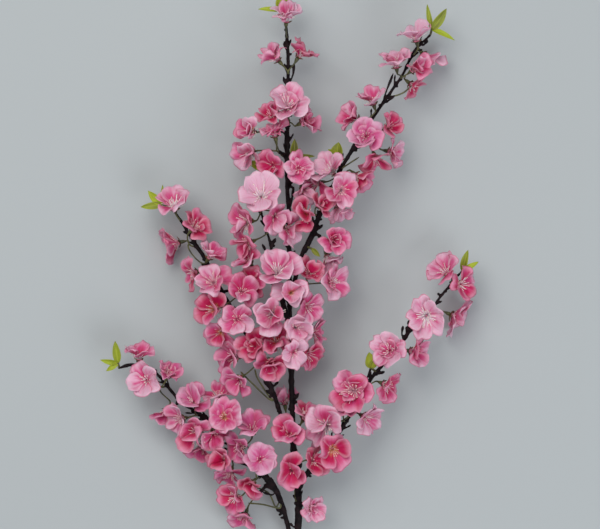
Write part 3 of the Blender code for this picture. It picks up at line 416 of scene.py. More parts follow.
class Petal:
    """A petal's own draw: its place round the heart, its length and its width."""

    def __init__(self, number, blossom, draw):
        self.blossom = blossom
        self.azimuth = number * math.tau / PETALS + draw.uniform(-PETAL_STRAY, PETAL_STRAY)
        self.length = PETAL_LENGTH * blossom.size * draw.uniform(1 - LENGTH_SPREAD, 1 + LENGTH_SPREAD)
        self.half_width = PETAL_HALF_WIDTH * blossom.size * draw.uniform(1 - WIDTH_SPREAD, 1 + WIDTH_SPREAD)
        self.lean = PETAL_LEANS[0]

    def points(self, spin, lean, across=PROBES[0], along=PROBES[1]):
        """Points of the solid petal's middle surface.

        across runs from -1 to 1 over the petal's width and along from 0 at the foot to 1 at the tip.
        """
        run = self.length * along * (1 - TIP_ROUNDING * across ** 4)
        turned, out, up = curled(lean + PETAL_CURL / 2, PETAL_CURL, self.length, run)
        cup = PETAL_CUP * across ** 2 * along
        out = out - cup * np.sin(turned)
        room = np.maximum(WEDGE_SHARE * out - PETAL_THICKNESS, HEART_RADIUS / 2)
        side = np.clip(self.half_width * across * along ** FOOT_TAPER, -room, room)
        turn = self.blossom.facing_turn(spin + self.azimuth)
        return placed(self.blossom.heart, turn, out, side, up + cup * np.cos(turned))


def crowding(points, others, radii, weights):
    """How hard each set of points is pushed by the points around it and by the ground."""
    apart = np.linalg.norm(points[..., None, :] - others, axis=-1) - radii
    push = np.clip(1 - apart / REACH, 0, 2) ** 2 * weights
    sunk = np.clip(1 - points[..., 2] / GROUND_MARGIN, 0, None) ** 2 * WOOD_WEIGHT
    return push.sum(axis=(-1, -2)) + sunk.sum(axis=-1)


def standing_points(umbels):
    """Points along the wood, leaves, stalks and calyxes: place, radius, weight and blossom number."""
    rows = []
    for foot_radius, tip_radius, points in BRANCHES.values():
        for a, b, span in spans(points):
            steps = max(2, round(span / REACH * 2))
            radius = (foot_radius + tip_radius) / 2
            rows += [(*a.lerp(b, k / steps), radius, WOOD_WEIGHT, -1) for k in range(steps)]
    for umbel in umbels:
        rows += [(*umbel.base.lerp(umbel.spur_end, k / 3), SPUR_RADIUS, WOOD_WEIGHT, -1) for k in range(4)]
    for foot, leaves in (tuft for tufts in LEAF_TUFTS.values() for tuft in tufts):
        for *direction, length, half_width in leaves:
            reach = unit(direction) * length
            rows += [(*(Vector(foot) + reach * k / 4), half_width, WOOD_WEIGHT, -1) for k in range(5)]
    for number, blossom in enumerate(b for u in umbels for b in u.blossoms):
        rows += [(*blossom.stalk_point(k / 6), STALK_RADIUS, STALK_WEIGHT, number) for k in range(7)]
        for depth in (-0.6, 0.0, 0.6):
            spot = blossom.heart + blossom.facing * (depth * CALYX_DEPTH)
            rows.append((*spot, CALYX_RADIUS, STALK_WEIGHT, number))
    return np.array(rows)


def settle_petals(umbels):
    """Turns each blossom, and lifts or lowers each of its petals, to where it is least crowded."""
    blossoms = [b for u in umbels for b in u.blossoms]
    fixed = standing_points(umbels)
    hearts = np.array([b.heart for b in blossoms])
    dislike = LEAN_DISLIKE * np.arange(len(PETAL_LEANS))[:, None]
    settled = [np.stack([p.points(b.spin, p.lean) for p in b.petals]) for b in blossoms]
    for i, blossom in list(enumerate(blossoms)) * SWEEPS:
        away = np.linalg.norm(hearts - hearts[i], axis=1)
        petals = [settled[j].reshape(-1, 3) for j in np.flatnonzero(away < NEIGHBOUR_RANGE) if j != i]
        petals = np.concatenate(petals) if petals else np.zeros((0, 3))
        near = (np.linalg.norm(fixed[:, :3] - hearts[i], axis=1) < WOOD_RANGE) & (fixed[:, 5] != i)
        others = np.concatenate([fixed[near, :3], petals])
        radii = np.concatenate([fixed[near, 3], np.zeros(len(petals))])
        weights = np.concatenate([fixed[near, 4], np.ones(len(petals))])
        options = []
        for spin in SPINS:
            trial = np.stack([[p.points(spin, lean) for p in blossom.petals] for lean in PETAL_LEANS])
            cost = crowding(trial, others, radii, weights) + dislike
            options.append((cost.min(axis=0).sum(), spin, cost.argmin(axis=0)))
        _, blossom.spin, choice = min(options, key=lambda option: option[0])
        for petal, k in zip(blossom.petals, choice):
            petal.lean = PETAL_LEANS[k]
        settled[i] = np.stack([p.points(blossom.spin, p.lean) for p in blossom.petals])


# ---- meshes and finished pieces

def linked(name, data):
    """A new object in the scene."""
    made = bpy.data.objects.new(name, data)
    bpy.context.scene.collection.objects.link(made)
    return made


def mesh_of(bm, name):
    mesh = bpy.data.meshes.new(name)
    bm.to_mesh(mesh)
    bm.free()
    return mesh


def baked(holder):
    """What an object's curve or modifiers make, as a bmesh; the object goes."""
    bpy.context.view_layer.update()
    mesh = bpy.data.meshes.new_from_object(holder.evaluated_get(bpy.context.evaluated_depsgraph_get()))
    bpy.data.objects.remove(holder)
    bm = bmesh.new()
    bm.from_mesh(mesh)
    bpy.data.meshes.remove(mesh)
    return bm


def finished(bm, name, branch_nodes, look, blade=0.0):
    """Moves a mesh to the sprig's origin and makes it a piece that stands for CAD nodes.

    A mesh of thin blades is given its thickness, half of it to each side.
    """
    bmesh.ops.translate(bm, verts=bm.verts[:], vec=-Vector(ORIGIN))
    mesh = mesh_of(bm, name)
    mesh.shade_smooth()
    mesh.materials.append(look)
    piece = linked(name, mesh)
    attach(piece, "root")
    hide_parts(*branch_nodes)
    if blade:
        thick = piece.modifiers.new("blade", "SOLIDIFY")
        thick.thickness = blade
        thick.offset = 0.0


def tubes(lines, sides):
    """Round tubes along lines of (place, radius), as one closed mesh."""
    curve = bpy.data.curves.new("tubes", "CURVE")
    curve.dimensions = "3D"
    curve.bevel_depth = 1.0
    curve.bevel_resolution = (sides - 4) // 2
    curve.use_fill_caps = True
    for line in lines:
        spline = curve.splines.new("POLY")
        spline.points.add(len(line) - 1)
        for point, (place, radius) in zip(spline.points, line):
            point.co = (*place, 1.0)
            point.radius = radius
    bm = baked(linked("tubes", curve))
    bpy.data.curves.remove(curve)
    bmesh.ops.remove_doubles(bm, verts=bm.verts[:], dist=MERGE_DISTANCE)
    bmesh.ops.recalc_face_normals(bm, faces=bm.faces[:])
    return bm


def smooth_line(points, steps):
    """Places on a smooth curve through the points, with the given number of steps between two of them."""
    points = [Vector(p) for p in points]
    ends = [points[0] * 2 - points[1]] + points + [points[-1] * 2 - points[-2]]
    line = []
    for a, b, c, d in zip(ends, ends[1:], ends[2:], ends[3:]):
        for k in range(steps):
            t = k / steps
            line.append(0.5 * (b * 2 + (c - a) * t + (a * 2 - b * 5 + c * 4 - d) * t ** 2
                               + (b * 3 - a - c * 3 + d) * t ** 3))
    return line + [points[-1]]


def bell(value, middle, width):
    """A smooth swelling: 1 at its middle, and next to nothing two widths away."""
    return math.exp(-((value - middle) / width) ** 2)


# ---- wood

# Slim dark twigs by branch. A course is a row of places in millimetres, each its X and Y, from the wood out.
TWIGS = {
    "leader": ((-3.7, 371, -3.9, 380, -6.7, 389), (-3.5, 370, 0.7, 379, 1.8, 389), (-3.5, 369, -7.8, 376),
        (-7, 345, -13, 350, -21.5, 355), (-5, 311, -1.7, 322), (-1, 270, 1.5, 286), (-1, 233, -6.5, 240),
        (5, 25, 8, 34, 11.5, 45), (3, 8, 8, 13), (2, -1, -2, 3)),
    "right_high": ((16, 245, 21, 249, 26, 254), (77, 360, 85, 381), (79, 356, 86, 362),
        (110, 404, 114, 408.5), (39, 301, 43, 314)),
    "left_high": ((-18, 116, -24, 124), (-17, 117, -11, 123), (-58, 198, -66, 205), (-63, 206, -64, 214),
        (-60, 197, -52, 199), (-66, 213, -74, 219)),
    "inner": ((-20, 229, -25, 238), (-19, 230, -15, 239)),
    "left_low": ((-11, 21, -11.5, 28, -18, 42), (-16, 31, -24, 36), (-16, 27, -24.5, 29), (-11, 20, -8, 24),
        (-55, 70, -52, 77), (-57, 71, -63, 79, -69, 84), (-97, 103, -95, 111),
        (-127, 133, -134, 137, -146, 133)),
    "right_low": ((93, 158, 92, 163, 93, 169.5), (95, 160, 97, 169.5), (97, 162, 102, 167.5),
        (62, 121, 64, 129, 70, 141), (70, 128, 78, 131)),
}

# The courses of stalks that have lost their blossoms, or whose blossoms are behind others.
GREEN_STALKS = {
    "leader": ((3, 22, 2.1, 36), (4, 22, 7, 32, 13, 49), (-9, 312, -16, 328)),
    "left_low": ((-11, 15.5, -24, 18.5, -37, 19.7), (-14, 17, -19.5, 28, -30, 33), (-32, 56, -37.5, 69),
        (-54, 73, -59.5, 84)),
    "left_high": ((-18, 109, -28.5, 125, -31, 133), (-19, 108, -36, 124, -43, 131)),
    "right_high": ((42, 301, 56, 310), (84, 361, 93, 364, 100, 370)),
}

COURSE_HEIGHT = 0.035  # where a course looks for its branch
COURSE_RISE = 0.001  # how far a course runs above its branch's middle
COURSE_STEPS = 6
COURSE_TIP = 0.4  # radius at a course's end
END_BUD = (0.85, 0.1, 0.8)  # where along a twig its last bud swells, how long it is and how much wider
GREEN_RADIUS = 0.0007

WOOD_FINENESS = 0.93  # a branch against its solid
WOOD_STEPS = 12
WOOD_SIDES = 10
WANDER = 0.0007  # how far a branch strays from its course
WANDER_SCALE = 70.0
LONGEST_BRANCH = 1.0  # longer than any branch
KNOT_SPACING = 0.011
KNOT_STRAY = (0.5, 1.6)  # of the spacing
KNOT_SWELL = 0.24
KNOT_WIDTH = 0.0016

STRAND = (0.019, 0.013, 0.007)  # where a spur runs beside its branch, before it bends out
STRAND_SET = 0.85  # how far out it runs there, of the branch's radius
SPUR_STEPS = 4
SPUR_RISE = 0.6  # where it is straight again, of the way to its end
SPUR_BACK = 0.001  # how far short of its foot it bends
SPUR_GIRTHS = (0.62, 0.28, 3)  # at its foot, how much it gains, and how soon: over a third of its length
SPUR_THICKEST = 0.9  # against its branch's radius
SPUR_KNOBS = ((0.94, 0.05, 0.35), (0.66, 0.04, 0.25))  # where along a spur, how long and how much wider

TWIG_OFFSETS = (-0.004, 0.010)  # how far short of a spur its twigs stand
TWIG_LENGTHS = (0.0045, 0.0085)
TWIG_SPREAD = (0.35, 0.8)  # sideways, against one part along the branch
TWIG_RISE = (0.0, 0.5)
TWIG_RADIUS = 0.00078
TWIG_BEND = 0.2
TWIG_SHAPE = ((0.0, 1.1), (0.3, 1.0), (0.55, 1.0), (0.68, 1.15), (0.8, 1.3), (0.9, 0.95), (1.0, 0.2))
BUD_SHAPE = ((0.0, 0.9), (0.3, 0.62), (0.42, 0.7), (0.56, 1.15), (0.7, 1.25), (0.84, 0.85), (0.95, 0.4),
             (1.0, 0.1))
BUD_BEND = 0.3
BUD_STRETCH = 1.1  # length against its solid's
SIDE_BUD = (0.6, 0.8, 0.9)  # a bud's smaller neighbour: its length, its radius, and how far it turns away

KNOB_SPACING = 0.010  # small knobs between the buds
KNOB_STRAY = (0.5, 1.5)
KNOB_LENGTHS = (0.0012, 0.0034)
KNOB_LEAN = (0.2, 1.2)  # along the branch, against one part straight out
KNOB_RADIUS = 0.0010

VOXEL = 0.00064
BARK_RELIEF = 0.00024
BARK_SCALES = (260.0, 900.0)  # coarse and fine


def branch_line(branch):
    """The course of a branch, with a knot every few millimetres."""
    foot_radius, tip_radius, points = BRANCHES[branch]
    places = smooth_line(points, WOOD_STEPS)
    knots = []
    run = rng.uniform(0, KNOT_SPACING)
    while run < LONGEST_BRANCH:
        knots.append(run)
        run += KNOT_SPACING * rng.uniform(*KNOT_STRAY)
    line = []
    run = 0.0
    for k, place in enumerate(places):
        run += (place - places[max(k - 1, 0)]).length
        share = k / (len(places) - 1)
        swell = 1 + KNOT_SWELL * sum(bell(run, knot, KNOT_WIDTH) for knot in knots)
        radius = WOOD_FINENESS * (foot_radius + (tip_radius - foot_radius) * share) * swell
        line.append((place + noise.noise_vector(place * WANDER_SCALE) * WANDER, radius))
    return line


def measured_line(branch, course, radius, closed):
    """A twig or stalk along a course in millimetres, level with its branch; a closed one ends in a bud."""
    places = [Vector((x / 1000, y / 1000, COURSE_HEIGHT)) for x, y in zip(course[::2], course[1::2])]
    start = nearest_on_branch(branch, places[0])[0]
    places = smooth_line([start] + [(p.x, p.y, start.z + COURSE_RISE) for p in places], COURSE_STEPS)
    last = len(places) - 1
    middle, width, extra = END_BUD
    line = []
    for k, place in enumerate(places):
        swell = 1 + closed * extra * bell(k / last, middle, width)
        line.append((place, radius * swell * (COURSE_TIP if k == last else 1)))
    return line


def shoot_line(start, lean, bend, length, radius, shape):
    """A straight or bent shoot whose shape gives its radius from foot to tip."""
    return [(start + lean * (length * share) + bend * (length * share ** 2), radius * swell)
            for share, swell in shape]


def spur_line(umbel):
    """A spur runs close beside its branch and then bends out towards its blossoms."""
    _, along, _ = nearest_on_branch(umbel.branch, umbel.base)
    side = unit(umbel.outwards - along * umbel.outwards.dot(along))
    radius = min(SPUR_RADIUS, umbel.radius * SPUR_THICKEST)
    points = []
    for back in STRAND:
        spot, _, thick = nearest_on_branch(umbel.branch, umbel.base - along * back)
        points.append(spot + side * (thick * STRAND_SET))
    reach = umbel.spur_end - umbel.base
    points += [umbel.base + side * umbel.radius - along * SPUR_BACK, umbel.base + reach * SPUR_RISE,
               umbel.spur_end]
    places = smooth_line(points, SPUR_STEPS)
    least, more, quickly = SPUR_GIRTHS
    line = []
    for k, place in enumerate(places):
        share = k / (len(places) - 1)
        knobs = sum(extra * bell(share, middle, width) for middle, width, extra in SPUR_KNOBS)
        line.append((place, radius * (least + more * min(1.0, share * quickly) + knobs)))
    return line


def spur_twigs(umbel):
    """A slim twig to each side of a spur's foot."""
    lines = []
    for hand in (-1, 1):
        offset = rng.uniform(*TWIG_OFFSETS)
        _, along, _ = nearest_on_branch(umbel.branch, umbel.base)
        spot, along, thick = nearest_on_branch(umbel.branch, umbel.base - along * offset)
        side = unit(along.cross(UP)) * hand
        lean = unit(along + side * rng.uniform(*TWIG_SPREAD) + UP * rng.uniform(*TWIG_RISE))
        length = thick + rng.uniform(*TWIG_LENGTHS)
        if spot.y > BUD_LOWEST:
            lines.append(shoot_line(spot, lean, along * TWIG_BEND, length, TWIG_RADIUS, TWIG_SHAPE))
    return lines


def branch_buds(branch, umbels):
    """Buds to the left and right of a branch in turn, each with a smaller neighbour, clear of its spurs."""
    bases = [u.base for u in umbels if u.branch == branch]
    bases += [nearest_on_branch(branch, Vector(foot))[0] for foot, _ in LEAF_TUFTS.get(branch, ())]
    shorter, finer, turn = SIDE_BUD
    lines = []
    for k in range(1, int(branch_length(branch) / BUD_SPACING) + 1):
        spot, along, radius = point_along(branch, (k - BUD_START) * BUD_SPACING)
        if min((spot - b).length for b in bases) < BUD_CLEARANCE or spot.y < BUD_LOWEST:
            continue
        side = unit(along.cross(UP)) * (1 if k % 2 else -1)
        lean = unit(side + along * BUD_LEAN[0] + UP * BUD_LEAN[1])
        lines.append(shoot_line(spot, lean, along * BUD_BEND, radius + BUD_LENGTH * BUD_STRETCH,
                                BUD_RADIUS, BUD_SHAPE))
        lean = unit(lean + side * turn - along * turn)
        lines.append(shoot_line(spot, lean, along * TWIG_BEND, radius + BUD_LENGTH * shorter,
                                BUD_RADIUS * finer, BUD_SHAPE))
    return lines


def branch_knobs(branch):
    """Small knobs all round a branch."""
    lines = []
    run = KNOB_SPACING
    while run < branch_length(branch) - KNOB_SPACING / 2:
        spot, along, radius = point_along(branch, run)
        turn = Matrix.Rotation(rng.uniform(0, math.tau), 3, along)
        lean = unit(turn @ along.orthogonal().normalized() + along * rng.uniform(*KNOB_LEAN))
        if spot.y > BUD_LOWEST:
            length = radius + rng.uniform(*KNOB_LENGTHS)
            lines.append(shoot_line(spot, lean, along * TWIG_BEND, length, KNOB_RADIUS, BUD_SHAPE))
        run += KNOB_SPACING * rng.uniform(*KNOB_STRAY)
    return lines


def wood_lines(umbels):
    """The courses of every branch, spur, twig, bud and small knob."""
    lines = [branch_line(branch) for branch in BRANCHES]
    lines += [spur_line(umbel) for umbel in umbels]
    for branch, courses in TWIGS.items():
        lines += [measured_line(branch, course, TWIG_RADIUS, 1) for course in courses]
    for umbel in umbels:
        lines += spur_twigs(umbel)
    for branch in BRANCHES:
        lines += branch_buds(branch, umbels)
        lines += branch_knobs(branch)
    return lines


def remeshed(bm, voxel):
    """One skin over shapes that cross."""
    mesh = mesh_of(bm, "skin")
    holder = linked("skin", mesh)
    skin = holder.modifiers.new("skin", "REMESH")
    skin.mode = "VOXEL"
    skin.voxel_size = voxel
    bm = baked(holder)
    bpy.data.meshes.remove(mesh)
    return bm


def keep_largest(bm):
    """Takes away every separate piece of a mesh but the largest, such as pockets closed up in the wood."""
    seen = set()
    pieces = []
    for vert in bm.verts:
        if vert in seen:
            continue
        seen.add(vert)
        piece = [vert]
        for member in piece:
            for edge in member.link_edges:
                other = edge.other_vert(member)
                if other not in seen:
                    seen.add(other)
                    piece.append(other)
        pieces.append(piece)
    pieces.sort(key=len)
    bmesh.ops.delete(bm, geom=[vert for piece in pieces[:-1] for vert in piece], context="VERTS")


def wood_mesh(umbels):
    """The whole of the wood as one skin, with a rough bark."""
    bm = remeshed(tubes(wood_lines(umbels), WOOD_SIDES), VOXEL)
    keep_largest(bm)
    bmesh.ops.smooth_vert(bm, verts=bm.verts[:], factor=0.5,
                          use_axis_x=True, use_axis_y=True, use_axis_z=True)
    bm.normal_update()
    coarse, fine = BARK_SCALES
    for vert in bm.verts:
        rough = noise.noise(vert.co * coarse) + 0.5 * noise.noise(vert.co * fine)
        vert.co += vert.normal * (BARK_RELIEF * rough)
    return bm


# ---- petals

PETAL_GRID = (8, 8)  # cells across and along
PETAL_FOOT = 0.05  # where a petal's blade starts, as a part of its length
PETAL_BLADE = 0.00025
RIM_REACH = 0.8  # power by which the tip's outline fades towards the foot
CLAW = 0.13  # half-width of a petal's narrow foot, as a part of its widest
WIDEST = 0.74  # where along a petal it is widest
SPOON = 2.6  # power by which a petal swells from its foot
TIP_ARC = 0.30  # how far back the rounded tip reaches
LEAN_SPREAD = 0.17  # how far a petal strays from its solid's slope
CLOSING = (-0.06, 0.22)  # how much further than its solid a blossom has closed, in radians
FOLD = 1.6  # cup of a petal, against its solid's
PETAL_TWIST = 0.0016  # each petal has one side above its neighbour
RIPPLE = 0.0018  # height of the waves at the rim
RIPPLE_WAVES = (3.4, 6, 2)  # radians across the middle, and along and across the sides
SIDE_RIPPLE = 0.9
WIDTH_WAVE = (5, 0.04)  # radians along, and how much wider
NOTCH = 0.12  # depth of the notch in the tip, as a part of the length
NOTCH_WIDTH = 0.22  # of the half-width, as the trough's is
TROUGH = 0.0008  # depth of the crease along the middle
TROUGH_WIDTH = 0.2
TROUGH_PLACE = 0.7  # power that moves its deepest place towards the foot
PLEAT = 0.00025
PLEAT_WAVES = 9
FRILL = 0.022  # how far the rim's small waves stand in and out, as a part of the length
FRILL_WAVES = 7
LOWEST = 0.0004  # the lowest that a petal hangs above the ground
PETAL_SPREADS = {  # what differs from petal to petal, from the least to the most
    "ripple": (0.4, 1.5),
    "notch": (0.0, 1.2),
    "curl_back": (-0.0022, 0.0034),  # how far the tip bends back
    "skew": (-0.08, 0.08),  # how much longer one side is
    "sickle": (-0.0016, 0.0016),  # how far the tip stands to one side
    "fold": (0.1, 1.2),
    "trough": (0.4, 1.3),
    "twist": (0.5, 1.5),
    "width": (0.86, 1.08),
    "curl": (0.5, 1.5),
}
PETAL_MARKS = ("across", "along", "tone", "chance", "yellow", "mauve", "white")
INNER_SCALE = 0.72
INNER_FINENESS = (0.8, 1.0)  # of the inner scale
INNER_SHARE = 0.18  # of the blossoms that are not double, those that have inner petals all the same
INNER_LEAN = math.radians(24)
INNER_TONE = 0.15  # how much deeper the inner petals' pink is
TONE_SPREAD = 0.22  # how far a petal's pink strays from its blossom's


class Sheet:
    """Many thin blades gathered in one mesh, with what their material needs to know at every corner."""

    def __init__(self, names):
        self.bm = bmesh.new()
        self.layers = [self.bm.verts.layers.float.new(name) for name in names]

    def blade(self, columns, rows, shape, *values):
        """A grid bent by shape(across, along); across and along and the values go to the layers."""
        verts = bmesh.ops.create_grid(self.bm, x_segments=columns, y_segments=rows, size=1.0)["verts"]
        across = np.array([math.sin(v.co.x * math.pi / 2) for v in verts])
        along = np.array([(v.co.y + 1) / 2 for v in verts])
        for vert, place, a, t in zip(verts, shape(across, along), across, along):
            vert.co = place
            for layer, value in zip(self.layers, (a, t, *values)):
                vert[layer] = value


def fine_petal(blossom, azimuth, lean, length, half_width):
    """The waved, spoon-shaped blade of one petal, as a function of across and along."""
    phase = [rng.uniform(0, math.tau) for _ in range(5)]
    own = {name: rng.uniform(*spread) for name, spread in PETAL_SPREADS.items()}
    curl = PETAL_CURL * own["curl"]
    width = half_width * own["width"]

    def rim_line(across):
        """Where the blade ends, as a part of its length."""
        rim = 1 - TIP_ARC * (1 - np.sqrt(np.clip(1 - across ** 2, 0, 1)))
        notch = np.exp(-((across - own["skew"] * 3) / NOTCH_WIDTH) ** 2)
        rim = rim - NOTCH * own["notch"] * notch + own["skew"] * across
        return rim + FRILL * np.sin(FRILL_WAVES * across + phase[3])

    def rise_above(across, t):
        """How far the blade stands above a flat one."""
        middle, upwards, sideways = RIPPLE_WAVES
        sides = SIDE_RIPPLE * np.abs(across) * np.sin(upwards * t + phase[1] + sideways * across)
        wave = RIPPLE * own["ripple"] * t ** 2 * (np.sin(middle * across + phase[0]) + sides)
        cup = (own["fold"] * FOLD * PETAL_CUP * across ** 2 * t - own["curl_back"] * t ** 4
               + PETAL_TWIST * own["twist"] * across * t + wave)
        trough = np.exp(-(across / TROUGH_WIDTH) ** 2) * np.sin(math.pi * t ** TROUGH_PLACE)
        pleats = np.cos(PLEAT_WAVES * across + phase[4]) * np.sin(math.pi * t)
        return cup - TROUGH * own["trough"] * trough + PLEAT * pleats

    def shape(across, along):
        t = PETAL_FOOT + (1 - PETAL_FOOT) * along
        run = length * t * (1 + (rim_line(across) - 1) * t ** RIM_REACH)
        turned, out, up = curled(lean + curl / 2, curl, length, run)
        swell = CLAW + (1 - CLAW) * np.sin(math.pi / 2 * np.clip(t / WIDEST, 0, 1)) ** SPOON
        waves, wider = WIDTH_WAVE
        side = width * across * swell * (1 + wider * np.sin(waves * t + phase[2])) + own["sickle"] * t ** 2
        rise = rise_above(across, t)
        places = placed(blossom.heart, blossom.facing_turn(azimuth),
                        out - rise * np.sin(turned), side, up + rise * np.cos(turned))
        places[:, 2] = np.maximum(places[:, 2], LOWEST + ORIGIN[2])
        return places

    return shape


def petal_sheet(blossoms):
    """Every petal, and the inner petals of the double blossoms and of a few more."""
    sheet = Sheet(PETAL_MARKS)
    for blossom in blossoms:
        yellow = 1.0 if "y" in blossom.marks else 2.0 if "o" in blossom.marks else 0.0
        mauve, white = (float(mark in blossom.marks) for mark in "mw")
        closing = rng.uniform(*CLOSING)
        rings = [(0.0, 1.0, 0.0, TONE_SPREAD)]
        if "d" in blossom.marks or rng.random() < INNER_SHARE:
            rings.append((math.pi / PETALS, INNER_SCALE * rng.uniform(*INNER_FINENESS), INNER_LEAN, 0.0))
        for shift, scale, lift, spread in rings:
            for petal in blossom.petals:
                tone = blossom.tone + rng.uniform(-spread, spread) + (INNER_TONE if lift else 0.0)
                lean = petal.lean * (0.5 if lift else 1.0) + lift + closing
                lean += rng.uniform(-LEAN_SPREAD, LEAN_SPREAD)
                shape = fine_petal(blossom, blossom.spin + petal.azimuth + shift, lean, petal.length * scale,
                                   petal.half_width * scale)
                sheet.blade(*PETAL_GRID, shape, min(1.0, max(0.0, tone)), rng.random(), yellow, mauve, white)
    return sheet.bm


# ---- stamens

STAMENS = 34
LONG_STAMENS = 14  # more of them in blossoms with long white stamens
STAMEN_LENGTH = 0.0090
STAMEN_LENGTHS = (0.45, 1.1)  # of the length
STAMEN_RADIUS = 0.00023
LONGER = 1.25  # length and radius of a long stamen, against the others
STAMEN_TURN = 0.382  # part of a full turn from each stamen to the next
STAMEN_STRAY = 0.25
STAMEN_TILTS = (8, 58, 6)  # degrees: the innermost's, how much more the outermost's is, and how far all stray
STAMEN_CROWDING = 0.7  # power by which more of them tilt far
STAMEN_FOOT = 0.4  # how far out a stamen starts, of the heart's radius
STAMEN_BEND = 0.7  # tilt of a filament's lower half, against its upper half's
STAMEN_SIDES = 4
ANTHER_RADIUS = 0.00042
ANTHER_SIZES = (0.8, 1.2)
DOME_RADIUS = 0.0027
DOME_HEIGHT = 0.28  # of its radius


def stamen_line(blossom, number, count, longer):
    """One filament from the heart, bending outwards."""
    least, more, stray = STAMEN_TILTS
    azimuth = math.tau * (number * STAMEN_TURN) + rng.uniform(-STAMEN_STRAY, STAMEN_STRAY)
    share = ((number + 0.5) / count) ** STAMEN_CROWDING
    tilt = math.radians(least + more * share + rng.uniform(-stray, stray))
    length = STAMEN_LENGTH * blossom.size * rng.uniform(*STAMEN_LENGTHS) * longer
    outwards = Vector((math.cos(azimuth), math.sin(azimuth), 0))
    points = [outwards * (HEART_RADIUS * STAMEN_FOOT)]
    for slope in (tilt * STAMEN_BEND, tilt):
        out, up = math.sin(slope) * length / 2, math.cos(slope) * length / 2
        points.append(points[-1] + outwards * out + UP * up)
    return [(blossom.heart + blossom.frame @ p, STAMEN_RADIUS * longer) for p in points]


def stamen_mesh(blossoms):
    """A low dome in each heart, and a tuft of filaments with an anther at the end of each."""
    filaments = []
    anthers = []
    for blossom in blossoms:
        long = "w" in blossom.marks
        count = STAMENS + (LONG_STAMENS if long else 0)
        for k in range(count):
            line = stamen_line(blossom, k, count, LONGER if long else 1.0)
            filaments.append(line)
            anthers.append((blossom, line[-1][0], ANTHER_RADIUS * blossom.size * rng.uniform(*ANTHER_SIZES)))
    bm = tubes(filaments, STAMEN_SIDES)
    kind = bm.verts.layers.float.new("anther")
    tone = bm.verts.layers.float.new("tone")
    each = len(bm.verts) // len(filaments)
    for vert, (blossom, _, _) in zip(bm.verts, (anther for anther in anthers for _ in range(each))):
        vert[tone] = -1.0 if "w" in blossom.marks else blossom.tone

    def ball(blossom, matrix, radius, fineness, value):
        made = bmesh.ops.create_icosphere(bm, subdivisions=fineness, radius=radius, matrix=matrix)
        for vert in made["verts"]:
            vert[kind] = value
            vert[tone] = blossom.tone

    for blossom, place, radius in anthers:
        ball(blossom, Matrix.Translation(place), radius, 1, 1.0)
    for blossom in blossoms:
        place = Matrix.Translation(blossom.heart) @ blossom.frame.to_4x4()
        ball(blossom, place @ Matrix.Diagonal((1, 1, DOME_HEIGHT, 1)), DOME_RADIUS * blossom.size, 2, -1.0)
    return bm


# ---- stalks and sepals

STALK_STEPS = 10
STALK_SIDES = 8
STALK_FINENESS = 0.85  # radius at a stalk's ends, against its solid's
STALK_WAIST = 0.2  # how much less it is halfway
# A calyx's radius, against its stalk's, at parts of its depth under the heart.
CALYX_SHAPE = ((0.85, 1.0), (0.62, 1.6), (0.38, 1.95), (0.2, 1.9), (0.12, 1.0))
SEPAL_GRID = (3, 3)
SEPAL_FOOT = 0.0012
SEPAL_LENGTH = 0.0042
SEPAL_HALF_WIDTH = 0.0015
SEPAL_DROP = 0.0010  # how far a sepal lies under its petals
SEPAL_TUCK = 0.3  # how far that drop also moves it inwards
SEPAL_CUP = 0.0004
SEPAL_NECK = 0.25  # where on a half wave its outline starts
SEPAL_ROUNDING = 0.8
SEPAL_LEAN = 0.15  # how much less than its petal a sepal leans


def stalk_mesh(blossoms, branch):
    """Green stalks that widen into a calyx under each blossom, and the stalks without one."""
    lines = [measured_line(branch, course, GREEN_RADIUS, 0) for course in GREEN_STALKS.get(branch, ())]
    for blossom in blossoms:
        line = []
        for share in (k / STALK_STEPS for k in range(STALK_STEPS + 1)):
            radius = STALK_RADIUS * (STALK_FINENESS - STALK_WAIST * math.sin(math.pi * share))
            line.append((blossom.stalk_point(share), radius))
        for depth, radius in CALYX_SHAPE:
            line.append((blossom.heart - blossom.facing * (depth * CALYX_DEPTH), STALK_RADIUS * radius))
        lines.append(line)
    return tubes(lines, STALK_SIDES)


def sepal_shape(blossom, petal):
    """A small pointed blade between two petals, as a function of across and along."""
    turn = blossom.facing_turn(blossom.spin + petal.azimuth + math.pi / PETALS)
    lean = petal.lean - SEPAL_LEAN
    length = SEPAL_LENGTH * blossom.size

    def shape(across, along):
        width = np.sin(math.pi * (SEPAL_NECK + (1 - SEPAL_NECK) * along)) ** SEPAL_ROUNDING
        run = SEPAL_FOOT + length * along
        down = -SEPAL_DROP - SEPAL_CUP * across ** 2
        return placed(blossom.heart, turn, run * math.cos(lean) - down * math.sin(lean) * SEPAL_TUCK,
                      SEPAL_HALF_WIDTH * across * width, run * math.sin(lean) + down)

    return shape


# ---- leaves

LEAF_GRID = (6, 8)
LEAF_BLADE = 0.0004
LEAF_MARKS = ("across", "along", "chance")
LEAF_FULLNESS = 1.1  # width against the solid leaf's
LEAF_SHOULDER = 0.8  # power that moves its widest place towards its foot
LEAF_ROUNDING = 0.75
LEAF_NECK = 0.06  # half-width of its foot, as a part of the widest
LEAF_SINK = 0.04  # how far back its foot lies, as a part of its length
LEAF_FOLD = 0.45  # how steeply its halves rise from the rib
LEAF_DROOP = 0.12  # of its length, at the tip
LEAF_WAVE = 0.06
LEAF_WAVES = 9
LEAF_BEND = 0.10  # how far a leaf bends to one side, at most
LEAF_ROLL = 0.4
LEAF_STALK_RADIUS = 0.0010
LEAF_STALK_STEPS = 4
LEAF_STALK_SIDES = 6
TIP_TUFT = 0.016  # leaves this near to a branch's end are its brightest
TIP_BRIGHTNESS = 0.35
BRIGHTNESS_SPREAD = 0.65


